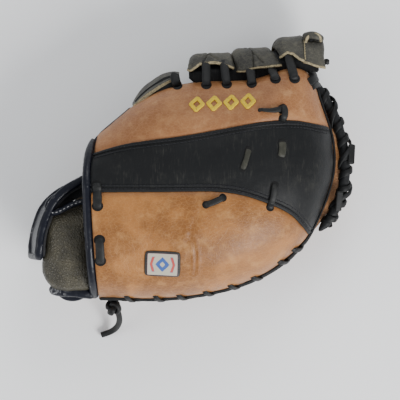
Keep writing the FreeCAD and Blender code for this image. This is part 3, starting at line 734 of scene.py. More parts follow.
# ---- back leather -------------------------------------------------------------------------------------
def back_panel(half, sides, crowding, counts, creases=()):
    """Leather of one panel: the dome over a Coons patch, lifted by the half's own swelling.

    Each crease is a line that presses in and lifts beside itself.
    """
    u, v = crowd(counts[0], *crowding[0]), crowd(counts[1], *crowding[1])
    xy = coons(*sides, u, v)
    p = np.concatenate([xy, half.height(xy)[..., None]], axis=-1)
    normal = grid_normals(p, p - np.array([*CENTRE, half.rim]))
    lift = half.swell(p)
    for line, depth, width in creases:
        d = np.min(np.linalg.norm(xy[:, :, None] - line[None, None, ::3], axis=-1), axis=2)
        lift = lift - depth * near(d, width) + 0.6 * depth * near(d - 2.2 * width, 1.6 * width)
    edge = near(half.seam_distance(xy), 5.0)
    p = p + lift[..., None] * normal
    if half.way < 0:
        p[..., 2] = np.maximum(p[..., 2], 0.05)
    return p, edge


def heel_ends(half, heel):
    """The heel line inside the outline, and its two ends on the outline."""
    heel = curve(plan(heel), 600)
    a, b = crossing(heel[:250], half.loop)[0], 350 + crossing(heel[350:], half.loop)[0]
    return heel[a:b + 1], heel[a], heel[b]


class MITT_OT_finger_back(bpy.types.Operator):
    """Makes the three leather panels of the finger half's back"""
    bl_idname = "mitt.finger_back"
    bl_label = "Finger half back"

    def execute(self, context):
        m = paint()
        heel, heel_top, heel_bottom = heel_ends(FINGER, FINGER_HEEL)
        upper, lower = curve(plan(UPPER_SEAM), 900), curve(plan(LOWER_SEAM), 900)
        loop = FINGER.loop
        tip_side = loop[np.linalg.norm(loop - plan((1.0, 0.0)), axis=1) < 90]
        up, low = between(upper, heel, tip_side), between(lower, heel, tip_side)
        corner = plan((0.80, 1.068))
        index = (up, FINGER.edge(heel_top, corner, 400), between(heel, up[:1], heel_top[None]),
                 FINGER.edge(corner, up[-1], 200)[::-1])
        band = (low, up, between(heel, low[:1], up[:1]), FINGER.edge(up[-1], low[-1], 300)[::-1])
        turn = plan((0.80, -0.50))
        pinky = (FINGER.edge(turn, heel_bottom, 500)[::-1], low, between(heel, heel_bottom[None], low[:1]),
                 FINGER.edge(low[-1], turn, 120)[::-1])
        crease = curve([at(-9, -28), at(-5.5, -36), at(-3.4, -50), at(-4.6, -62)], 60)
        folds = [(crease, 0.9, 0.9), (curve([at(2, -5), at(-6, -22), at(-10, -36)], 60), 0.35, 2.4),
                 (curve([at(-48, -10), at(-30, -22), at(-14, -40)], 60), 0.3, 2.0)]
        for name, sides, crowding, counts, creases, mat, slot in (
                ("finger_back_pinky_panel", pinky, ((0, 1), (1, 0)), (190, 130), folds, "tan", "tan_leather"),
                ("finger_back_centre_band", band, ((0, 1), (0, 0)), (210, 80), (), "black", "black_leather"),
                ("finger_back_index_panel", index, ((0, 1), (0, 1)), (190, 110), (), "pale", "tan_leather")):
            p, edge = back_panel(FINGER, sides, crowding, counts, creases)
            piece = Shape().grid(p, value=edge).make("skin_" + name, m[mat])
            thicken(outward(piece, FINGER), LEATHER, -1)
            ready(piece, "finger_half", slot, name)
        return {"FINISHED"}


def outward(piece, half):
    """Turns a sheet's faces outwards, away from the middle of its half."""
    return facing(piece, face_rows(piece, "center") - np.array([*CENTRE, half.rim]) * MM)


class MITT_OT_thumb_back(bpy.types.Operator):
    """Makes the two leather panels of the thumb half's back, which the mitt lies on"""
    bl_idname = "mitt.thumb_back"
    bl_label = "Thumb half back"

    def execute(self, context):
        m = paint()
        heel, heel_top, heel_bottom = heel_ends(THUMB, THUMB_HEEL)
        seam = curve(plan(THUMB_SEAM), 900)
        tip_side = THUMB.loop[np.linalg.norm(THUMB.loop - plan((1.05, 0.3)), axis=1) < 60]
        seam = between(seam, heel, tip_side)
        corner, turn = plan((0.82, 0.94)), plan((0.9, -0.37))
        fold = (seam, THUMB.edge(heel_top, corner, 400), between(heel, seam[:1], heel_top[None]),
                THUMB.edge(corner, seam[-1], 200)[::-1])
        main = (THUMB.edge(turn, heel_bottom, 500)[::-1], seam, between(heel, heel_bottom[None], seam[:1]),
                THUMB.edge(seam[-1], turn, 200)[::-1])
        for name, sides, crowding, counts, mat in (
                ("thumb_back_panel", main, ((0, 1), (1, 0)), (190, 130), "tan"),
                ("thumb_fold_panel", fold, ((0, 1), (0, 1)), (170, 80), "black")):
            p, edge = back_panel(THUMB, sides, crowding, counts)
            piece = Shape().grid(p, value=edge).make("skin_" + name, m[mat])
            thicken(outward(piece, THUMB), LEATHER, -1)
            ready(piece, "thumb_half", "tan_leather", name)
        return {"FINISHED"}


class MITT_OT_palms(bpy.types.Operator):
    """Makes the palm leather of both halves, with its flat laced rim and the pocket inside it"""
    bl_idname = "mitt.palms"
    bl_label = "Palms"

    def execute(self, context):
        m = paint()
        for name, half, heel, depth, body in (("finger_palm", FINGER, FINGER_HEEL, 15.6, "finger_half"),
                                              ("thumb_palm", THUMB, THUMB_HEEL, 11.6, "thumb_half")):
            line, top, bottom = heel_ends(half, heel)
            tip = plan((1.02, 0.1))
            sides = (half.edge(tip, bottom, 500)[::-1], half.edge(top, tip, 500), line[::-1],
                     np.repeat(half.edge(tip, tip + (0, 0.01), 2)[:1], 40, axis=0))
            xy = coons(*sides, crowd(170, 0, 1), crowd(170, 1, 1))
            share = half.share(xy) / (1 - 9.0 / 125)
            wall = rise(np.minimum(share, 1)) * depth
            pocket = 1 + 0.10 * near(np.linalg.norm(xy - plan((0.25, 0.1)), axis=-1), 45.0)
            p = np.concatenate([xy, (half.rim + half.way * (wall * pocket - 0.5))[..., None]], axis=-1)
            p[..., 2] += 0.3 * rumple(p, 22.0, 3) * rise(np.minimum(share, 1))
            piece = Shape().grid(p, value=near(1 - share, 0.03)).make("skin_" + name, m["palm"])
            thicken(facing(piece, (0, 0, -half.way)), 1.2, -1)
            ready(piece, body, "tan_leather", name)
        return {"FINISHED"}


# ---- seams --------------------------------------------------------------------------------------------
def beside(line, offset):
    """A plan line moved sideways, to its left."""
    way = unit(np.gradient(line, axis=0))
    return line + offset * np.stack([-way[:, 1], way[:, 0]], axis=1)


class MITT_OT_seams(bpy.types.Operator):
    """Makes the welts in the seams and the stitching beside them"""
    bl_idname = "mitt.seams"
    bl_label = "Seams"

    def execute(self, context):
        m = paint()
        for name, half, shares, heel, side, body in (
                ("upper_welt", FINGER, UPPER_SEAM, FINGER_HEEL, -1, "finger_half"),
                ("lower_welt", FINGER, LOWER_SEAM, FINGER_HEEL, 1, "finger_half"),
                ("thumb_welt", THUMB, THUMB_SEAM, THUMB_HEEL, 1, "thumb_half")):
            line = curve(plan(shares), 1200)
            rim = half.loop[np.linalg.norm(half.loop - plan((1.0, 0.0)), axis=1) < 90]
            line = between(line, curve(plan(heel), 600), rim)[:-3]
            mid, normal = half.on(beside(line, side * 0.7), 0.5)
            ridge = sweep(mid, profile(3.8, 1.9, 16, 0.8), normal, 1 + 0.07 * rumple(mid, 5.0, 2))
            if half.way < 0:
                ridge[..., 2] = np.maximum(ridge[..., 2], 0.2)
            bar("seam_" + name, "welt", ridge, body, "black_leather", name)
            threads = Shape()
            for offset, lift in ((side * 1.5, 1.2), (side * 4.6, 0.2)):
                row, up = half.on(beside(line, offset), lift)
                if half.way < 0:
                    row[..., 2] = np.maximum(row[..., 2], 0.6)
                add_stitches(threads, row, up, 3.1, 2.3, 0.75)
            ready(threads.make("stitching_" + name, m["black_thread"]), body, "thread")
        return {"FINISHED"}


def heel_path(half, heel, radius, lift=0.0):
    """The rolled edge of the back leather at the wrist: along the heel line, just outside it."""
    line = heel_ends(half, heel)[0]
    line = line[18 if half.way > 0 else 4:-4] - (radius + 0.1, 0)
    z = half.height(line + (radius, 0)) - half.way * (radius * 0.7 - lift)
    if half.way < 0:
        z = np.convolve(np.pad(np.maximum(z, radius + 0.1), 20, "edge"), np.ones(41) / 41, "valid")
    return even(np.concatenate([line, z[:, None]], axis=1), 220)


class MITT_OT_bindings(bpy.types.Operator):
    """Makes the rolled bindings round the wrist opening and along both rims"""
    bl_idname = "mitt.bindings"
    bl_label = "Bindings"

    def execute(self, context):
        m, sizes = paint(), context.scene.mitt_sizes
        for name, half, heel, radius, body in (
                ("finger_heel_binding", FINGER, FINGER_HEEL, sizes.heel_binding, "finger_half"),
                ("thumb_heel_binding", THUMB, THUMB_HEEL, sizes.heel_binding * 0.8, "thumb_half")):
            path = heel_path(half, heel, radius)
            thin = 0.5 + 0.5 * np.sin(np.clip(np.arange(len(path)) / 30, 0, 1) * math.pi / 2)
            rings = sweep(path, profile(2.1 * radius, 2.0 * radius, 22, 0.92), (1, 0, 0),
                          (1 + 0.035 * rumple(path, 9.0, 4) + 0.02 * rumple(path, 2.5, 5)) * thin)
            rings = rings + 0.12 * rumple(rings, 2.4, 8)[..., None]
            if half.way < 0:
                rings[..., 2] = np.maximum(rings[..., 2], 0.15)
            bar("roll_" + name, "navy", rings, body, "binding", name)
            if half.way > 0:
                inner = path + np.array([radius * 0.95, 0, radius * 0.62])
                threads = add_stitches(Shape(), inner, (0.5, 0, 0.8), 3.4, 2.2, 0.7)
                ready(threads.make("stitching_" + name, m["black_thread"]), body, "thread")
        for name, half, start, end, drop, body in (
                ("finger_rim_binding", FINGER, (92, 111), (-84, -83), -0.9, "finger_half"),
                ("thumb_rim_binding", THUMB, (92, -38), (-100, -77), 1.1, "thumb_half")):
            edge = half.edge(at(*start), at(*end), RIM_POINTS)
            path = np.concatenate([beside(edge, 2.3 if half.way > 0 else 1.0),
                                   np.full((len(edge), 1), half.rim + drop)], axis=1)
            path[:, 2] += 0.35 * rumple(path, 12.0, 3)
            thin = 1 - 0.55 * (half.way > 0) * np.clip((190 - np.arange(RIM_POINTS)) / 30, 0, 1)
            rings = sweep(path, profile(4.6, 4.4, 12, 0.9), (0, 0, 1), thin + 0.12 * rumple(path, 5.0, 6))
            bar("roll_" + name, "welt", rings, body, "binding", name)
        return {"FINISHED"}


# ---- laces --------------------------------------------------------------------------------------------
def add_hole_shade(hole_shades, half, spot, way, width):
    """Painted shade of a punched hole in the leather: a near-black low oval dish round a lace's end, longer
    along its way.
    """
    a = np.linspace(0, FULL, 18, endpoint=False)
    side = np.array([-way[1], way[0]])
    rim = spot + np.cos(a)[:, None] * way * width * 0.60 + np.sin(a)[:, None] * side * width * 0.66
    outer, _ = half.on(rim, np.full(18, 0.02))
    inner, _ = half.on(spot + (rim - spot) * 0.75, np.full(18, 0.5))
    centre, _ = half.on(spot[None], np.full(1, 0.45))
    hole_shades.grid(np.stack([outer, inner]), around=True)
    j = np.arange(18)
    hole_shades.add(np.concatenate([inner, centre]), tris=np.stack([j, (j + 1) % 18, np.full(18, 18)], axis=1))


def lace_run(shape, hole_shades, half, line, width, thick, stand=0.9, dive=2.6, skew=0.0, thin=0.0):
    """A flat lace that comes up through one hole, lies on the leather and goes down through another.

    Its height is stand * (1 - t ** 6) - dive * t ** 6, where t runs from -1 to 1 along it. thin is how much
    narrower its first end is.
    """
    line = even(np.asarray(line, float), 46)
    t = np.linspace(-1, 1, 46)
    lift = stand * (1 - t ** 6) - dive * t ** 6 + thick / 2 - 0.5
    path, normal = half.on(line, lift)
    normal = unit(normal + skew * rumple(path, 9.0, 11)[:, None])
    size = (1 + 0.07 * rumple(path, 4.0, 12) - 0.30 * t ** 8) * (1 - thin * (1 - t) / 2)
    shape.tube(sweep(path, profile(width, thick * 1.15, 18, 0.78), normal, size))
    # painted shade: a near-black dish round each end of the lace, where its hole lies in shade
    for k, inner in ((0, 6), (-1, -7)):
        way = unit(line[k] - line[inner])
        add_hole_shade(hole_shades, half, line[k] - way * width * 0.32, way, width * (1 - thin * (k == 0)))
    return shape


class MITT_OT_back_laces(bpy.types.Operator):
    """Makes the laces that tie the finger stalls and the heel to the back"""
    bl_idname = "mitt.back_laces"
    bl_label = "Back laces"

    def execute(self, context):
        m, sizes = paint(), context.scene.mitt_sizes
        ties, hole_shades = Shape(), Shape()
        tie = sizes.lace_width * 0.74
        faded = Shape()
        for a, b, width, thick, stand, lace in (
                ((34.8, 24.5), (40.6, 43.6), tie * 0.85, 1.5, 0.5, faded),
                ((67.2, 35.0), (68.4, 49.6), tie * 1.2, 1.5, 0.5, faded),
                ((58.2, -8.0), (62.2, 14.2), tie, 2.5, 0.9, ties),
                ((3.4, -4.4), (20.6, 2.8), tie, 2.5, 0.9, ties)):
            mid = (np.array(a) + b) / 2 + np.array([0.6, -0.4])
            lace_run(lace, hole_shades, FINGER, curve([at(*a), mid + SHIFT, at(*b)], 40), width, thick, stand)
        ready(faded.make("lace_faded_ties", m["lace_olive"]), "finger_half", "lace")
        long_arm = curve([at(48.0, 75.0), at(58, 74.3), at(69.6, 76.2)], 40)
        short_arm = curve([at(68.8, 78.6), at(69.8, 73.5), at(69.0, 66.5)], 40)
        lace_run(ties, hole_shades, FINGER, long_arm, tie * 1.05, LACE_THICK, 1.3, skew=0.3, thin=0.55)
        lace_run(ties, hole_shades, FINGER, short_arm, tie * 1.05, LACE_THICK, 2.2)
        ready(ties.make("lace_stall_ties", m["lace"]), "finger_half", "lace", "stall_tie_laces")
        loops = Shape()
        for a, b in (((-86.3, 14.5), (-85.4, -7.4)), ((-84.0, -30.8), (-83.2, -52.6))):
            mid = (np.array(a) + b) / 2 + np.array([0.4, 0])
            line = curve([at(*a), mid + SHIFT, at(*b)], 40)
            lace_run(loops, hole_shades, FINGER, line, sizes.lace_width * 1.02, LACE_THICK, 1.0)
        ready(loops.make("lace_heel_loops", m["lace"]), "finger_half", "lace", "heel_laces")
        # painted shade: the near-black dishes round the lace ends
        ready(hole_shades.make("lace_holes_back", m["hole"]), "finger_half", "lace")
        return {"FINISHED"}


def rim_wraps(shape, half, start, end, count, width, seed, reach=12.0, side=1.0):
    """Lace drawn over a rim in slanting turns.

    Each turn climbs out of the back leather, rounds the rim and passes under it, while it moves along the
    rim by reach: its section is a half loop, and its travel is linear.
    """
    edge = half.edge(at(*start), at(*end), 600)
    rng = np.random.default_rng(seed)
    s = half.way
    section = np.array([(-3.4, 17.0), (0.2, 16.0), (2.4, 12.0), (3.7, 7.0), (4.2, 2.0), (3.6, -2.4),
                        (0.5, -3.4), (-4.0, -3.0)])
    for place in np.linspace(20, 580, count):
        i = int(np.clip(place + rng.normal(0, 5), 12, 587))
        along = unit(edge[i + 8] - edge[i - 8])
        out = np.array([-along[1], along[0]])
        travel = np.linspace(-0.5, 0.5, len(section)) * reach * side
        xy = edge[i] + travel[:, None] * along + section[:, :1] * out - (travel ** 2 / 260)[:, None] * out
        z = half.rim + s * section[:, 1]
        path = curve(np.concatenate([xy, z[:, None]], axis=1), 34)
        middle = np.array([*(edge[i] - 2.0 * out), half.rim + s * 2.5])
        normal = unit(path - middle)
        shape.tube(sweep(path, profile(width, 2.3, 12, 0.62), normal, 1 + 0.06 * rumple(path, 4.0, seed)))
    return shape


class MITT_OT_rim_laces(bpy.types.Operator):
    """Makes the lace that is wound over both rims along the mouth"""
    bl_idname = "mitt.rim_laces"
    bl_label = "Rim laces"

    def execute(self, context):
        m, sizes = paint(), context.scene.mitt_sizes
        width = sizes.lace_width * 0.58
        shape = rim_wraps(Shape(), FINGER, (90, -35), (-64, -84), 8, width, 3, 11.0, -1)
        ready(shape.make("lace_finger_rim", m["lace_dark"]), "finger_half", "lace", "finger_rim_lace")
        shape = rim_wraps(Shape(), THUMB, (78, -44), (-92, -77), 9, width, 5, 12.0, 1)
        ready(shape.make("lace_thumb_rim", m["lace_dark"]), "thumb_half", "lace", "thumb_rim_lace")
        return {"FINISHED"}


def path_pinch(rings, count):
    """Narrows the last rings of a bar by a quarter cosine, down to 45 % of its size."""
    shrink = np.ones(len(rings))
    shrink[-count:] = 0.45 + 0.55 * np.cos(np.linspace(0, 1, count) * math.pi / 2)
    middle = rings.mean(axis=1, keepdims=True)
    return middle + (rings - middle) * shrink[:, None, None]


class MITT_OT_tip_roll(bpy.types.Operator):
    """Makes the padded roll round the thumb half's tip, with the lace wound round it and its loose ends"""
    bl_idname = "mitt.tip_roll"
    bl_label = "Tip roll"

    def execute(self, context):
        m, sizes = paint(), context.scene.mitt_sizes
        edge = THUMB.edge(at(92, 106), at(104, -23), RIM_POINTS)
        radius = 4.3
        path = np.concatenate([beside(edge, radius + 0.2), np.full((RIM_POINTS, 1), THUMB_RIM - 0.2)], axis=1)
        path[:, 2] += 0.6 * rumple(path, 14.0, 2)
        rings = round_bar(path, radius, count=20, wobble=0.09, seed=3, grain=7.0)
        rings = path_pinch(rings, 26)
        spread = unit(rings - rings.mean(axis=1, keepdims=True))
        rings = rings + 0.35 * rumple(rings, 3.0, 4)[..., None] * spread
        bar("roll_tip", "welt", rings, "thumb_half", "binding", "tip_roll")
        shape = Shape()
        t = np.linspace(0, 1, 900)
        i = 14 + t * 390
        frames = np.stack([np.interp(i, np.arange(RIM_POINTS), path[:, k]) for k in range(3)], axis=1)
        along = unit(np.gradient(frames, axis=0))
        out = unit(np.cross(along, (0, 0, 1)) * -1)
        for turns, phase, r, width in ((9.5, 0.4, radius + 1.3, sizes.lace_width * 0.72),
                                       (3.5, 2.4, radius + 2.5, sizes.lace_width * 0.6)):
            a = t * turns * FULL + phase
            wobble = 0.35 * rumple(frames, 9.0, 7)
            spoke = np.cos(a)[:, None] * out + np.sin(a)[:, None] * np.array([0, 0, 1.0])
            line = frames + (r + wobble)[:, None] * spoke * (0.86 + 0.14 * np.cos(a)[:, None])
            shape.tube(sweep(line, profile(width, 2.2, 12, 0.6), spoke, 1 + 0.06 * rumple(line, 5.0, 9)))
        ready(shape.make("lace_tip_wraps", m["lace_dark"]), "thumb_half", "lace", "tip_roll_lace")
        ends = Shape()
        for points in ([(128.4, 31.5, 50.0), (128.8, 37, 49.0), (129.2, 46.5, 47.6)],
                       [(118.8, 6.5, 53.6), (118.0, -2, 52.2), (117.4, -8.5, 50.8)]):
            line = route(points, 40)
            tip = 1 + 0.05 * rumple(line, 5.0, 3)
            ends.tube(sweep(line, profile(5.8, 2.3, 14, 0.5), (0.25, 0, 1), tip, blunt=2))
        ready(ends.make("lace_tip_ends", m["lace"]), "thumb_half", "lace", "tip_lace_ends")
        corner = Shape()
        for points, wide in (([(89.5, 95, 66), (91.5, 98.5, 71), (96, 102.5, 66), (99, 104, 52)], 7.0),
                             ([(90.5, 102, 60), (93.5, 104.5, 62), (97, 106, 57), (98, 103, 48)], 6.0),
                             ([(91.0, 91, 66), (93.5, 94.5, 69), (98, 97.5, 62), (101, 98, 50)], 6.0)):
            path = route(points, 50)
            corner.tube(sweep(path, profile(wide, 2.8, 14, 0.6), (0.5, 0.3, 1)))
        ready(corner.make("lace_corner", m["lace_dark"]), "finger_half", "lace")
        return {"FINISHED"}


class MITT_OT_heel_knot(bpy.types.Operator):
    """Makes the knot at the heel end of the rim lace and its loose end"""
    bl_idname = "mitt.heel_knot"
    bl_label = "Heel knot"

    def execute(self, context):
        m = paint()
        shape = Shape()
        centre = np.array([*(np.array([-73.8, -91.6]) + SHIFT), 44.0])
        t = np.linspace(0, 1, 260)
        a = t * FULL * 2
        reach = 3.3 + 1.7 * np.cos(1.5 * a)
        loop = 1.15 * np.stack([reach * np.cos(a), reach * np.sin(a), 3.0 * np.sin(1.5 * a)], axis=1)
        turn = np.array([[0.8, 0.0, 0.6], [0.1, 0.98, -0.13], [-0.59, 0.16, 0.79]])
        line = centre + loop @ turn
        shape.tube(sweep(line, profile(5.2, 3.2, 12, 0.75), unit(line - centre)))
        for points, width in (([(-74, -78.0, 45), (-75.5, -81.5, 47.5), (-76, -85.0, 46)], 6.6),
                              ([(-71.5, -77.5, 44), (-72, -82, 47), (-73, -86.0, 46)], 5.6),
                              ([(-80.5, -80.5, 48), (-77.5, -82.5, 49.2), (-74.5, -84.5, 47.0)], 5.6)):
            path = route(points, 40)
            shape.tube(sweep(path, profile(width, 2.4, 12, 0.6), (0, -0.5, 1)))
        ready(shape.make("lace_heel_knot", m["lace"]), "thumb_half", "lace", "heel_lace_knot")
        tail = bpy.data.curves.new("lace_heel_tail", "CURVE")
        tail.dimensions = "3D"
        line = tail.splines.new("NURBS")
        line.points.add(len(TAIL_ROUTE) - 1)
        for point, place in zip(line.points, TAIL_ROUTE):
            point.co = (*(c * MM for c in place), 1)
        line.order_u = 3
        line.use_endpoint_u = True
        tail.bevel_depth = 2.6 * MM
        tail.bevel_resolution = 4
        tail.use_fill_caps = True
        tail.resolution_u = 16
        piece = bpy.data.objects.new("lace_heel_tail", tail)
        context.scene.collection.objects.link(piece)
        tail.materials.append(m["lace"])
        ready(piece, "thumb_half", "lace", "heel_lace_tail")
        return {"FINISHED"}


# ---- web ----------------------------------------------------------------------------------------------
def web_section(x, angle, inset):
    """A point of the web's bend: at x along it, at an angle from its lower edge to its upper one."""
    line = curve(WEB_STATIONS, 400)
    y = np.interp(x, line[:, 0], line[:, 1])
    depth = np.interp(x, line[:, 0], line[:, 2])
    return np.stack([x + 0 * angle, y + (depth - inset) * np.cos(angle),
                     FOLD_Z + (WEB_RISE - inset) * np.sin(angle)], axis=-1)


# Each tab: its name; x of its two sides at its outermost line and at its lip; the y that its outermost line
# reaches at each side; y of its lip at five places across; how far its left and right shoulders round off.
TABS = [
    ("web_tab_base", (-8.2, 26.0), (-9.0, 27.4), (123.2, 124.6), (108.5, 114.6, 115.8, 114.6, 111.8),
     (7.0, 3.0)),
    ("web_tab_middle", (27.0, 58.8), (33.0, 67.4), (127.6, 128.8), (106.5, 110.8, 112.4, 113.0, 113.4),
     (7.0, 4.0)),
    ("web_tab_tip", (62.4, 88.2), (69.0, 88.6), (136.8, 138.6), (121.5, 125.0, 123.5, 119.6, 117.4),
     (8.0, 1.2)),
    ("web_end_band", (88.8, 103.4), (89.2, 104.2), (139.4, 139.8), (117.0, 115.6, 114.2, 113.0, 112.0),
     (1.2, 3.5)),
]
# Lines sewn into each tab, as shares across it and from its outermost line to its lip.
TAB_SEAMS = {
    "web_tab_base": [((0.42, -0.3), (0.44, 0.45)), ((0.44, 0.45), (0.30, 1.0)), ((0.44, 0.45), (0.66, 0.8))],
    "web_tab_middle": [((0.40, -0.3), (0.46, 0.5)), ((0.46, 0.5), (0.36, 1.0)), ((0.46, 0.5), (0.62, 0.85))],
    "web_tab_tip": [((0.95, -0.3), (0.95, 1.0))],
    "web_end_band": [],
}


def line_distance(a, b, start, end):
    """Distance of points (a, b) from a straight line between two points."""
    dx, dy = end[0] - start[0], end[1] - start[1]
    t = np.clip(((a - start[0]) * dx + (b - start[1]) * dy) / (dx * dx + dy * dy), 0, 1)
    return np.hypot(a - start[0] - t * dx, b - start[1] - t * dy)


def web_tab(name, top, lip, peak, lip_y, shoulders, count=(70, 100)):
    """The surface of one strap of the web.

    It follows the web's bend from the underside to the angle where its lip has the wanted y. Near each side
    it rounds inwards by r - sqrt(r ** 2 - (r - d) ** 2), where d is the distance from the side.
    """
    a, b = np.meshgrid(np.linspace(0, 1, count[0]), np.linspace(0, 1, count[1]), indexing="ij")
    a = 0.5 - 0.5 * np.cos(math.pi * a)
    stations = curve(WEB_STATIONS, 400)
    x_top, x_lip = (lo + (hi - lo) * a + SHIFT[0] for lo, hi in (top, lip))
    depth = np.interp(x_top, stations[:, 0], stations[:, 2]) - FOLD_INSET
    centre = peak[0] + (peak[1] - peak[0]) * a + SHIFT[1] - depth
    wanted = np.interp(a, np.linspace(0, 1, 5), lip_y) + SHIFT[1]
    end = np.arccos(np.clip((wanted - centre) / depth, -0.1, 1))
    angle = -1.4 + b * (end + 1.4)
    up = np.clip(angle / end, -1, 1)
    x = x_top + (x_lip - x_top) * np.clip(up, 0, 1) ** 1.3
    width = top[1] - top[0]
    inset = 0.0
    for d, r in ((a * width, shoulders[0]), ((1 - a) * width, shoulders[1])):
        inside = np.clip(r - d, 0, r)
        inset = inset + r - np.sqrt(r ** 2 - inside ** 2 * 0.98)
    inset = inset * (0.55 + 0.45 * np.cos(np.clip(angle, 0, 1.5)))
    p = np.stack([x, centre + (depth - inset) * np.cos(angle),
                  FOLD_Z + (WEB_RISE - FOLD_INSET - inset) * np.sin(angle)], axis=-1)
    normal = grid_normals(p, p - np.array([0, 1, 0]) * centre[..., None] - np.array([0, 0, FOLD_Z]))
    lift = 0.5 * rumple(p, 9.0, 31) + 0.18 * rumple(p, 3.0, 32)
    for start, finish in TAB_SEAMS[name]:
        ends = [(across * width, along * 16) for across, along in (start, finish)]
        gap = line_distance(a * width, up * 16.0, *ends)
        lift = lift - 0.9 * near(gap, 0.8) + 0.35 * near(gap - 2.0, 1.2)
    curl = np.clip((b - 0.9) / 0.1, 0, 1) ** 2
    lift = lift + curl * (1.2 + 1.2 * rumple(p * (1, 0, 0), 7.0, 33))
    return p + lift[..., None] * normal, normal


class MITT_OT_web(bpy.types.Operator):
    """Makes the web: its inner panel, the four straps bent round it, the base strap and the fold roll"""
    bl_idname = "mitt.web"
    bl_label = "Web"

    def execute(self, context):
        m = paint()
        x, bend = np.meshgrid(np.linspace(-4.6, 105.6, 120), np.linspace(-2.2, 2.2, 80), indexing="ij")
        room = np.clip(np.minimum((x + 7) / 10, (112 - x) / 22), 0.1, 1)
        past = np.clip(np.abs(bend) - QUARTER, 0, 1) / 0.63 * room
        p = web_section(x, np.clip(bend, -QUARTER, QUARTER), 7.0) - past[..., None] * (0, 9.5, 0)
        p[..., 2] -= np.sign(bend) * past * 1.5
        p = p + 0.4 * rumple(p, 14.0, 4)[..., None]
        piece = thicken(Shape().grid(p).make("skin_web_panel", m["black"]), 2.6, 0)
        ready(piece, "web", "black_leather", "web_panel")
        seams, lips = Shape(), Shape()
        for name, *shape in TABS:
            p, normal = web_tab(name, *shape)
            piece = Shape().grid(p).make("strap_" + name, m["strap"], m["raw"])
            thicken(facing(piece, (0, 1, 0)), 2.6, 0, 1)
            ready(piece, "web", "olive_leather", name)
            lip = even(p[2:-2, -1], 90)
            lips.tube(sweep(lip, profile(2.9, 1.9, 10, 0.8), (0, 0.5, 1), 1 + 0.16 * rumple(lip, 3.5, 8)))
            if name == "web_tab_tip":
                add_stitches(seams, (p + 1.5 * normal)[-8, 44:97], normal[-8, 44:97], 2.2, 1.8, 1.0)
        ready(seams.make("stitching_web", m["tan_thread"]), "web", "thread")
        ready(lips.make("edge_web_lips", m["raw"]), "web", "olive_leather")
        self.end_roll(m)
        self.base_strap(m)
        return {"FINISHED"}

    def end_roll(self, m):
        """The rolled top of the web's end band, the knot of its lace and the roll in the fold."""
        t = np.linspace(0, 1, 50)
        line = np.stack([90.6 + 10.6 * t, 138.6 + 1.6 * np.sin(3.0 * t) - 2.0 * t,
                         FOLD_Z + 10 + 3 * np.sin(3 * t)], axis=1) + (*SHIFT, 0)
        size = 1 + 0.08 * rumple(line, 6.0, 3)
        rings = sweep(line, profile(7.6, 11.0, 22, 0.9), (0, 0, 1), size, reach=2.4)
        bar("roll_web_end", "strap", rings, "web", "olive_leather")
        arch = route([(89.4, 131.5, 14.6), (90.2, 135.6, 16.0), (92.6, 139.2, 16.6), (97.0, 140.6, 16.8),
                      (101.0, 138.6, 16.4), (102.4, 134.6, 15.2)], 60, FOLD_Z)
        rings = sweep(arch, profile(2.4, 1.9, 10, 0.8), (0, 0, 1), 1 + 0.2 * rumple(arch, 3.0, 5))
        bar("edge_web_end", "raw", rings, "web", "olive_leather")
        # painted shade: a near-black bar where the slot in the end band lies in shade
        slot = route([(93.6, 135.2, 15.9), (97.0, 136.6, 16.3), (100.0, 135.4, 15.9)], 24, FOLD_Z)
        rings = sweep(slot, profile(2.6, 1.4, 10, 0.8), (0, 0, 1))
        bar("slot_shade_web_end", "hole", rings, "web", "olive_leather")
        a = np.linspace(0, FULL * 1.8, 80)
        centre = np.array([*(np.array([107.4, 117.5]) + SHIFT), FOLD_Z + 5])
        knot = centre + np.stack([1.3 * np.sin(1.5 * a), 1.5 * np.cos(a), 1.5 * np.sin(a)], axis=1)
        rings = sweep(knot, profile(2.8, 2.2, 10, 0.8), unit(knot - centre))
        bar("lace_web_knot", "lace", rings, "web", "lace", "web_lace_knot")
        points = np.array([(-92, 45), (-84, 54.5), (-71, 66), (-59, 76)], float) + SHIFT
        path = curve(np.concatenate([points, np.full((4, 1), FOLD_Z)], axis=1), 90)
        piece = Shape().tube(round_bar(path, 2.8, seed=6)).make("roll_fold", m["navy"])
        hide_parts("fold_roll")
        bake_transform(piece)

    def base_strap(self, m):
        """The strap between the fold and the web: a leaf-shaped sheet that leans outwards.

        It is ruled between an upper edge beside the finger half and a lower edge further out, and bulges by
        a half sine between them.
        """
        upper = curve([at(-56.4, 79.8), at(-48.8, 86.2), at(-36.2, 95.2), at(-25.0, 101.2),
                       at(-17.2, 103.4)], 90)
        lower = curve([at(-57.2, 82.4), at(-49.0, 95.0), at(-37.8, 103.6), at(-27.0, 108.8),
                       at(-18.0, 108.4)], 90)
        t = np.linspace(0, 1, 34)
        xy = upper[:, None] + (lower - upper)[:, None] * (t ** 1.4)[None, :, None]
        lean = np.sin(math.pi * np.linspace(0, 1, 90) ** 0.8)[:, None]
        z = FOLD_Z + 13 + 4 * lean - (26 + 4 * lean) * t[None] ** 1.7
        p = np.concatenate([xy, z[..., None]], axis=-1)
        p = p + 0.45 * rumple(p, 7.0, 12)[..., None]
        piece = Shape().grid(p).make("strap_web_base", m["strap"], m["raw"])
        if sum(polygon.normal.z for polygon in piece.data.polygons[:200]) < 0:
            piece.data.flip_normals()
        thicken(piece, 3.2, -0.5, 1)
        ready(piece, "web", "olive_leather", "web_base_strap")
        inner, outer = upper + np.array([2.0, -5.5]), upper * 0.5 + lower * 0.5
        xy = inner[:, None] + (outer - inner)[:, None] * t[None, :, None]
        z = np.broadcast_to(FOLD_Z + 13.5 - 4.0 * t ** 2, xy.shape[:2])
        p = np.concatenate([xy, z[..., None]], axis=-1)[6:-2]
        piece = Shape().grid(p + 0.3 * rumple(p, 8.0, 13)[..., None]).make("skin_web_gusset", m["black"])
        return ready(thicken(piece, 1.6, 0), "web", "black_leather")


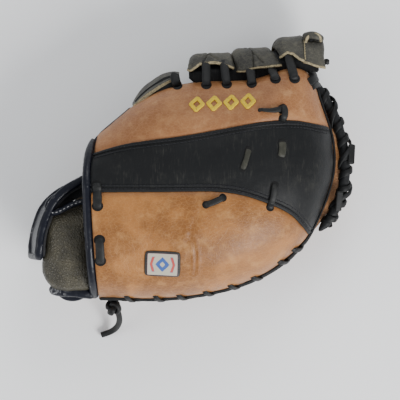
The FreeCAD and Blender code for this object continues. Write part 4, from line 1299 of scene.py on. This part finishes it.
class MITT_OT_web_laces(bpy.types.Operator):
    """Makes the laces between the web and the two halves"""
    bl_idname = "mitt.web_laces"
    bl_label = "Web laces"

    def execute(self, context):
        m, sizes = paint(), context.scene.mitt_sizes
        width = sizes.lace_width * 1.06
        runs = [((5.4, 95.4), (5.2, 114.0)), ((22.6, 95.8), (20.6, 114.0)), ((43.8, 96.6), (42.6, 111.0)),
                ((63.6, 100.2), (61.0, 111.5)), ((79.2, 100.8), (75.4, 121.0)),
                ((-19.0, 95.4), (-21.0, 103.0))]
        for half, name, body in ((FINGER, "finger_web_laces", "finger_half"),
                                 (THUMB, "thumb_web_laces", "thumb_half")):
            hole_shades = Shape()
            for k, ((x0, y0), (x1, y1)) in enumerate(runs):
                hole, top = at(x0, y0), at(x1, y1)
                if half is THUMB:
                    hole = hole - (0, 7.0)
                start, over = half.height(hole[None])[0], FOLD_Z + half.way * (WEB_RISE - 1.0)
                points = np.array([(*hole, start - half.way * 3.0),
                                   (*(hole + (0, 1.6)), start + half.way * 2.0),
                                   (*((hole + top) / 2), (start + over) / 2 + half.way * 2.6),
                                   (*top, over - half.way * 1.0), (*(top + (0, 3.0)), over - half.way * 4.0)])
                path = curve(points, 60)
                size = 1 + 0.09 * rumple(path, 5.0, 3) - 0.35 * near(np.arange(60) - 3.0, 7.0)
                rings = sweep(path, profile(width, 3.5, 18, 0.8), (0.12, -0.3, half.way), size)
                piece = Shape().tube(rings).make("lace_%s_%d" % (name, k + 1), m["lace_web"])
                if k == 0:
                    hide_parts(name)
                add_hole_shade(hole_shades, half, hole + (0, 0.6), np.array([0.0, 1.0]), width * 0.9)
                if half is FINGER:
                    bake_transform(piece)
                else:
                    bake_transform(piece)
            # painted shade: the near-black dishes where the web laces go into their holes
            ready(hole_shades.make("hole_shades_" + name, m["hole"]), body, "lace")
        return {"FINISHED"}


# ---- heel and strap -----------------------------------------------------------------------------------
def swell(piece, voxel, pressure, cap):
    """Blows a closed pad up by cloth simulation, and keeps each point within cap of where it was."""
    remesh = piece.modifiers.new("remesh", "REMESH")
    remesh.mode, remesh.voxel_size = "VOXEL", voxel * MM
    apply_modifiers(piece)
    mesh = piece.data
    n = len(mesh.vertices)
    before = np.empty(n * 3, np.float32)
    mesh.vertices.foreach_get("co", before)
    cloth_modifier = piece.modifiers.new("cloth", "CLOTH")
    settings = cloth_modifier.settings
    settings.use_pressure = True
    settings.uniform_pressure_force = pressure
    settings.effector_weights.gravity = 0
    scene = bpy.context.scene
    for number in range(1, CLOTH_FRAMES + 1):
        scene.frame_set(number)
    apply_modifiers(piece)
    after = np.empty(n * 3, np.float32)
    piece.data.vertices.foreach_get("co", after)
    scene.frame_set(1)
    move = (after - before).reshape(-1, 3)
    far = np.linalg.norm(move, axis=1, keepdims=True)
    move = move * np.minimum(1, cap * MM / np.maximum(far, 1e-9))
    piece.data.vertices.foreach_set("co", (before.reshape(-1, 3) + move).ravel())
    piece.data.update()
    return piece


def apply_modifiers(piece):
    """Replaces the piece's mesh by its evaluated one, with no modifier left."""
    graph = bpy.context.evaluated_depsgraph_get()
    mesh = bpy.data.meshes.new_from_object(piece.evaluated_get(graph))
    old = piece.data
    piece.modifiers.clear()
    piece.data = mesh
    bpy.data.meshes.remove(old)


def smooth_faces(piece, levels=1):
    piece.data.polygons.foreach_set("use_smooth", np.ones(len(piece.data.polygons), bool))
    if levels:
        fine = piece.modifiers.new("fine", "SUBSURF")
        fine.levels = fine.render_levels = levels
        apply_modifiers(piece)
    return piece


def rumple_piece(piece, amounts):
    """Moves each point along its normal by noise of several sizes."""
    mesh = piece.data
    n = len(mesh.vertices)
    co, no = np.empty(n * 3, np.float32), np.empty(n * 3, np.float32)
    mesh.vertices.foreach_get("co", co)
    mesh.vertices.foreach_get("normal", no)
    points = co.reshape(-1, 3) / MM
    move = sum(amount * rumple(points, size, k) for k, (amount, size) in enumerate(amounts))
    points = points + move[:, None] * no.reshape(-1, 3)
    mesh.vertices.foreach_set("co", (points * MM).astype(np.float32).ravel())
    mesh.update()
    return piece


def pillow(outline, low, high, levels):
    """A closed pad: its plan outline at each level, scaled by (1 - |t| ** 3.2) ** (1 / 2.6).

    t runs from -1 at the lowest level to 1 at the highest.
    """
    line = curve(np.array(outline, float) + SHIFT, 97, closed=True)[:-1]
    middle = line.mean(axis=0)
    t = np.linspace(-0.985, 0.985, levels)
    scale = (1 - np.abs(t) ** 3.2) ** (1 / 2.6)
    xy = middle + (line - middle)[None] * scale[:, None, None]
    z = np.broadcast_to(((low + high) / 2 + (high - low) / 2 * t)[:, None, None], (levels, 96, 1))
    return np.concatenate([xy, z], axis=-1)


class MITT_OT_heel_pads(bpy.types.Operator):
    """Makes the padded heel of both halves by cloth simulation"""
    bl_idname = "mitt.heel_pads"
    bl_label = "Heel pads"

    def execute(self, context):
        m = paint()
        pads = (("heel_cushion", "finger_half", (55.0, 82.5),
                 [(-92, -2.0), (-107, -5.0), (-119, -9.5), (-126.6, -12.5), (-129.4, -20), (-130.6, -33),
                  (-131.8, -47), (-133.4, -56), (-131.4, -66), (-125, -74.0), (-108, -76.4), (-92, -76),
                  (-90, -40)], 0.9),
                ("thumb_heel_pad", "thumb_half", (23.0, 41.0),
                 [(-110, -6), (-116, -10), (-121.5, -24), (-123.5, -45), (-121, -61), (-114, -67),
                  (-112.5, -50), (-111, -30)], 0.7))
        for name, body, (low, high), outline, fill in pads:
            piece = Shape().tube(pillow(outline, low, high, 26)).make("pad_" + name, m["olive"])
            swell(piece, 3.2, 4.0, 2.5)
            smooth_faces(piece)
            rumple_piece(piece, ((0.7, 18.0), (0.28, 8.0), (0.12, 3.2)))
            ready(piece, body, "olive_leather", name)
        return {"FINISHED"}


class MITT_OT_heel_trim(bpy.types.Operator):
    """Makes the bindings of the padded heel, the tongue and the loop under it"""
    bl_idname = "mitt.heel_trim"
    bl_label = "Heel trim"

    def execute(self, context):
        m = paint()
        top = route([(-94.5, -0.2, 84), (-101, -1.8, 84), (-110, -5.2, 83.5), (-118.6, -9.6, 82.0),
                     (-124.4, -10.6, 80.5), (-128.4, -6.6, 79.0), (-127.2, -1.6, 78.6),
                     (-122.2, 2.8, 78.4)], 150)
        rings = sweep(top, profile(5.0, 6.4, 18, 0.9), (0, 0, 1), 1 + 0.08 * rumple(top, 6.0, 2))
        rings = rings + 0.2 * rumple(rings, 2.4, 3)[..., None]
        bar("roll_cushion_upper", "navy", rings, "finger_half", "binding", "cushion_upper_binding")
        threads = add_stitches(Shape(), top[8:128] + (0, 0, 3.3), (0, 0, 1), 3.2, 1.6, 0.7)
        ready(threads.make("stitching_cushion", m["white_thread"]), "finger_half", "thread")
        low = route([(-123.4, -76.0, 66), (-115, -77.0, 66.6), (-105, -77.8, 67.0), (-92.8, -79.2, 66)], 90)
        rings = sweep(low, profile(9.6, 9.0, 20, 0.85), (0, 0, 1), 1 + 0.12 * rumple(low, 6.0, 5))
        rings = rings + 0.3 * rumple(rings, 2.6, 6)[..., None]
        shape = Shape().tube(rings, near(np.linalg.norm(rings - rings[0, 0], axis=-1), 13.0))
        loop = route([(-118, -78.5, 62), (-113.5, -81.6, 60.5), (-107.5, -82.6, 60), (-101.5, -81.2, 61),
                      (-98, -79.0, 62)], 80)
        shape.tube(sweep(loop, profile(6.6, 5.6, 14, 0.8), (0, 0, 1)))
        ready(shape.make("roll_cushion_lower", m["navy"]), "finger_half", "binding", "cushion_lower_binding")
        line = curve(np.array([(-95.0, 10.4), (-106, 6.0), (-119, -2.6)]) + SHIFT, 40)
        path = np.concatenate([line, np.full((40, 1), 64.0)], axis=1)
        rings = sweep(path, profile(10.5, 17.0, 20, 0.5), (0, 0, 1))
        bar("tongue_wrist", "fleece", rings, "finger_half", "lining_leather", "wrist_tongue")
        return {"FINISHED"}


class MITT_OT_wrist_strap(bpy.types.Operator):
    """Makes the wrist strap with its bound edges, its fleece and its stitching"""
    bl_idname = "mitt.wrist_strap"
    bl_label = "Wrist strap"

    def execute(self, context):
        m = paint()
        low, high = node_box("wrist_strap")
        path = curve(np.array([(-98.6, 16.0), (-107.6, 11.0), (-117.0, 5.0), (-125.6, -3.2), (-132.6, -16.0),
                               (-136.8, -31.5), (-138.0, -48.0)]) + SHIFT, 150)
        middle, half_width = (low[2] + high[2]) / 2, (high[2] - low[2]) / 2
        t = np.linspace(-1, 1, 30)
        lean = 3.6 * np.clip((np.arange(150) - 20) / 60, 0.1, 1)[:, None]
        wave = rumple(np.concatenate([path, np.zeros((150, 1))], axis=1), 20.0, 3)
        end = np.clip((np.arange(150) - 128) / 22, 0, 1)
        taper = np.sqrt(1 - (end * 0.8) ** 2)
        grid = np.stack([beside(path, -1.6 + lean * h) for h in t], axis=1)
        z = middle + half_width * 0.94 * t[None] * taper[:, None] + 0.6 * wave[:, None]
        p = np.concatenate([grid, z[..., None]], axis=-1)
        p = p + 0.25 * rumple(p, 7.0, 9)[..., None]
        piece = Shape().grid(p).make("skin_wrist_strap", m["navy"])
        thicken(piece, 3.0, 0)
        ready(piece, "strap", "black_leather", "wrist_strap")
        fleece = np.stack([beside(path, 2.3 + lean * h) for h in t], axis=1)
        z = middle + half_width * 0.86 * t[None] * taper[:, None]
        q = np.concatenate([fleece, z[..., None]], axis=-1)
        piece = Shape().grid(q + 0.3 * rumple(q, 3.0, 4)[..., None]).make("skin_strap_fleece", m["fleece"])
        thicken(piece, 3.4, 0)
        ready(piece, "strap", "fleece", "strap_fleece")
        edge = np.concatenate([p[:, -1], p[-1, ::-1][1:-1], p[::-1, 0]]) + (0.3, 0, 0)
        rail = curve(edge[::6], 300)
        up = np.concatenate([beside(path, 1.0) - path, np.zeros((150, 1))], axis=1)
        side = np.concatenate([up, np.broadcast_to(up[-1], (len(edge) - 300, 3)), up[::-1]])[::6]
        side = even(side, 300)
        rings = sweep(rail, profile(5.4, 7.0, 16, 0.85), side, 1 + 0.08 * rumple(rail, 8.0, 2))
        rings = rings + 0.2 * rumple(rings, 2.6, 3)[..., None]
        shape = Shape().tube(rings, 0.9 * np.clip(rumple(rings, 12.0, 21) * 1.6 - 0.3, 0, 1))
        ready(shape.make("roll_strap_edge", m["navy"]), "strap", "binding")
        threads = add_stitches(Shape(), p[4:140, 24], up[4:140] * -1, 3.4, 2.2, 0.7)
        ready(threads.make("stitching_strap", m["black_thread"]), "strap", "thread")
        return {"FINISHED"}


# ---- badge and embroidery -----------------------------------------------------------------------------
class MITT_OT_marks(bpy.types.Operator):
    """Makes the plain woven badge and the row of stitched lozenges"""
    bl_idname = "mitt.marks"
    bl_label = "Badge and embroidery"

    def execute(self, context):
        m = paint()
        a, b = np.meshgrid(np.linspace(-1, 1, 100), np.linspace(-1, 1, 72), indexing="ij")
        tuck = 1 - 0.07 * (np.abs(a) * np.abs(b)) ** 5
        x, y = a * 14.4 * tuck, b * 9.8 * tuck
        turn = -0.035
        xy = np.stack([x * math.cos(turn) - y * math.sin(turn),
                       x * math.sin(turn) + y * math.cos(turn)], axis=-1)
        edge = np.maximum(np.abs(a), np.abs(b))
        lift = 0.9 - 0.8 * np.clip((edge - 0.9) / 0.1, 0, 1) ** 2 + 0.05 * np.cos(b * 60)
        p, _ = FINGER.on(xy + at(-31.4, -52.6), lift)
        zone = np.zeros_like(a)
        zone[np.abs(a) / 0.42 + np.abs(b) / 0.62 < 1] = 1
        wing = np.abs(np.abs(a) - 0.66 + 0.22 * np.abs(b)) < 0.075
        zone[wing & (np.abs(b) < 0.62)] = 2
        zone[np.abs(a) / 0.16 + np.abs(b) / 0.24 < 1] = 0
        zone[edge > 0.87] = 3
        piece = Shape().grid(p, value=zone).make("badge_woven", m["badge"])
        if piece.data.polygons[0].normal.z < 0:
            piece.data.flip_normals()
        thicken(piece, 0.8, -1)
        ready(piece, "finger_half", "badge_fabric", "badge")
        ring = np.linspace(0, FULL, 160)
        c, s = np.cos(ring), np.sin(ring)
        around = np.stack([np.sign(c) * np.abs(c) ** 0.35 * 13.5,
                           np.sign(s) * np.abs(s) ** 0.35 * 9.0], axis=1)
        path, up = FINGER.on(around + at(-31.4, -52.6), 1.2)
        threads = add_stitches(Shape(), path, up, 2.4, 1.9, 0.8)
        ready(threads.make("stitching_badge", m["black_thread"]), "finger_half", "thread")
        shape = Shape()
        for k in range(4):
            centre = at(-2.6 + k * 14.4, 79.0 + 0.9 * k)
            corners = np.array([(5.0, 0), (0.6, 5.0), (-5.0, 0), (-0.6, -5.0), (5.0, 0), (4.0, 0.9)])
            path, up = FINGER.on(even(corners, 80) + centre, 0.5)
            shape.tube(sweep(path, profile(3.5, 1.5, 10, 0.7), up, 1 + 0.08 * rumple(path, 2.0, k)))
        ready(shape.make("embroidery_lozenges", m["gold"]), "finger_half", "thread", "embroidery")
        return {"FINISHED"}


# ---- nodes kept as the CAD made them ------------------------------------------------------------------
KEPT = {"finger_padding": "felt", "thumb_padding": "felt",
        "finger_lining": "lining", "thumb_lining": "lining",
        **{part + "_stall": "lining" for part in (
            "thumb", "index_finger", "middle_finger", "ring_finger", "little_finger")}}


class MITT_OT_inner_parts(bpy.types.Operator):
    """Gives the lining, padding and stalls their finishes"""
    bl_idname = "mitt.inner_parts"
    bl_label = "Inner parts"

    def execute(self, context):
        m = paint()
        for name, finish in KEPT.items():
            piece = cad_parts[name]
            for slot in piece.material_slots:
                slot.material = m[finish]
        return {"FINISHED"}


# ---- stage --------------------------------------------------------------------------------------------
class MITT_OT_stage(bpy.types.Operator):
    """Makes the floor, the lights and the camera above the mitt"""
    bl_idname = "mitt.stage"
    bl_label = "Stage"

    def execute(self, context):
        s = Shader("pale_floor", (0.6, 0.61, 0.62))
        cloud = s.noise(1.6, 2, 0.5)
        pale = s.mix(cloud.ramp(0.3, 0.7), (0.88, 0.885, 0.885), (0.93, 0.935, 0.935))
        s.set(Base_Color=pale, Roughness=0.8)
        sides = [-FLOOR_REACH, FLOOR_REACH]
        corners = np.stack(np.meshgrid(sides, sides, [0.0], indexing="ij"), axis=-1)[:, :, 0]
        facing(Shape().grid(corners).make("floor", s.material), (0, 0, 1))
        scene = context.scene
        world = bpy.data.worlds.new("soft_room")
        world.use_nodes = True
        world.node_tree.nodes["Background"].inputs["Color"].default_value = (0.86, 0.89, 0.94, 1)
        world.node_tree.nodes["Background"].inputs["Strength"].default_value = 0.62
        scene.world = world
        for name, place, size, power in (("key", (1.0, -1.25, 1.15), 0.8, 47.0),
                                         ("fill", (-1.3, -0.3, 1.0), 1.0, 9.0),
                                         ("back", (0.3, 1.5, 1.2), 1.0, 14.0)):
            light = bpy.data.lights.new(name, "AREA")
            light.energy, light.size = power, size
            lamp = bpy.data.objects.new(name, light)
            lamp.location = place
            way = -np.array(place)
            lamp.rotation_euler = (math.atan2(math.hypot(way[0], way[1]), -way[2]), 0,
                                   math.atan2(way[1], way[0]) - math.pi / 2)
            scene.collection.objects.link(lamp)
        camera = bpy.data.objects.new("camera", bpy.data.cameras.new("camera"))
        distance, view_width = 3.0, 0.34
        camera.data.lens = SENSOR_WIDTH * distance / view_width
        camera.location = (SHIFT[0] * MM, SHIFT[1] * MM, FINGER_RIM * MM + distance)
        scene.collection.objects.link(camera)
        scene.camera = camera
        return {"FINISHED"}


# ---- add-on -------------------------------------------------------------------------------------------
class MittSizes(bpy.types.PropertyGroup):
    """Sizes that a user would change, in millimetres."""
    lace_width: bpy.props.FloatProperty(name="Lace width", description="Width of the laces, in millimetres",
                                        default=7.2, min=4, max=10)
    heel_binding: bpy.props.FloatProperty(name="Heel binding", min=2, max=6, default=3.7,
                                          description="Radius of the rolled wrist edge, in millimetres")
    puff: bpy.props.FloatProperty(name="Panel swelling", min=0, max=4, default=1.4,
                                  description="How far the panels swell between seams, in millimetres")


def colour_property(name, description, default):
    return bpy.props.FloatVectorProperty(name=name, description=description, subtype="COLOR", min=0, max=1,
                                         default=default)


class MittColours(bpy.types.PropertyGroup):
    """Colours of the leathers and the thread."""
    tan: colour_property("Tan", "Tan leather", (0.35, 0.143, 0.036))
    pale_tan: colour_property("Pale tan", "Tan of the index side", (0.375, 0.172, 0.065))
    black: colour_property("Black", "Black leather", (0.0075, 0.008, 0.0085))
    navy: colour_property("Binding", "Rolled bindings", (0.0045, 0.0055, 0.0105))
    olive: colour_property("Olive", "Olive padding", (0.066, 0.058, 0.036))
    lace: colour_property("Lace", "Laces", (0.0075, 0.008, 0.008))
    thread: colour_property("Thread", "Embroidery thread", (0.80, 0.55, 0.025))


STEPS = (MITT_OT_stage, MITT_OT_heel_knot, MITT_OT_finger_back, MITT_OT_thumb_back, MITT_OT_palms,
         MITT_OT_seams, MITT_OT_bindings, MITT_OT_back_laces, MITT_OT_rim_laces, MITT_OT_tip_roll,
         MITT_OT_web,
         MITT_OT_web_laces, MITT_OT_heel_pads, MITT_OT_heel_trim, MITT_OT_wrist_strap, MITT_OT_marks,
         MITT_OT_inner_parts)


class MITT_PT_panel(bpy.types.Panel):
    """Lists the sizes, the colours and the steps that make the mitt"""
    bl_idname = "MITT_PT_panel"
    bl_label = "Catcher's mitt"
    bl_space_type = "VIEW_3D"
    bl_region_type = "UI"
    bl_category = "Mitt"

    def draw(self, context):
        for group in (context.scene.mitt_sizes, context.scene.mitt_colours):
            for name in group.__annotations__:
                self.layout.prop(group, name)
        for step in STEPS:
            self.layout.operator(step.bl_idname)


CLASSES = (MittSizes, MittColours, *STEPS, MITT_PT_panel)


def register():
    for made in CLASSES:
        bpy.utils.register_class(made)
    bpy.types.Scene.mitt_sizes = bpy.props.PointerProperty(type=MittSizes)
    bpy.types.Scene.mitt_colours = bpy.props.PointerProperty(type=MittColours)


def unregister():
    del bpy.types.Scene.mitt_colours
    del bpy.types.Scene.mitt_sizes
    for made in reversed(CLASSES):
        bpy.utils.unregister_class(made)


def main():
    register()
    for step in STEPS:
        group, name = step.bl_idname.split(".")
        getattr(getattr(bpy.ops, group), name)()
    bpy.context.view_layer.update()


if __name__ == "__main__":
    main()
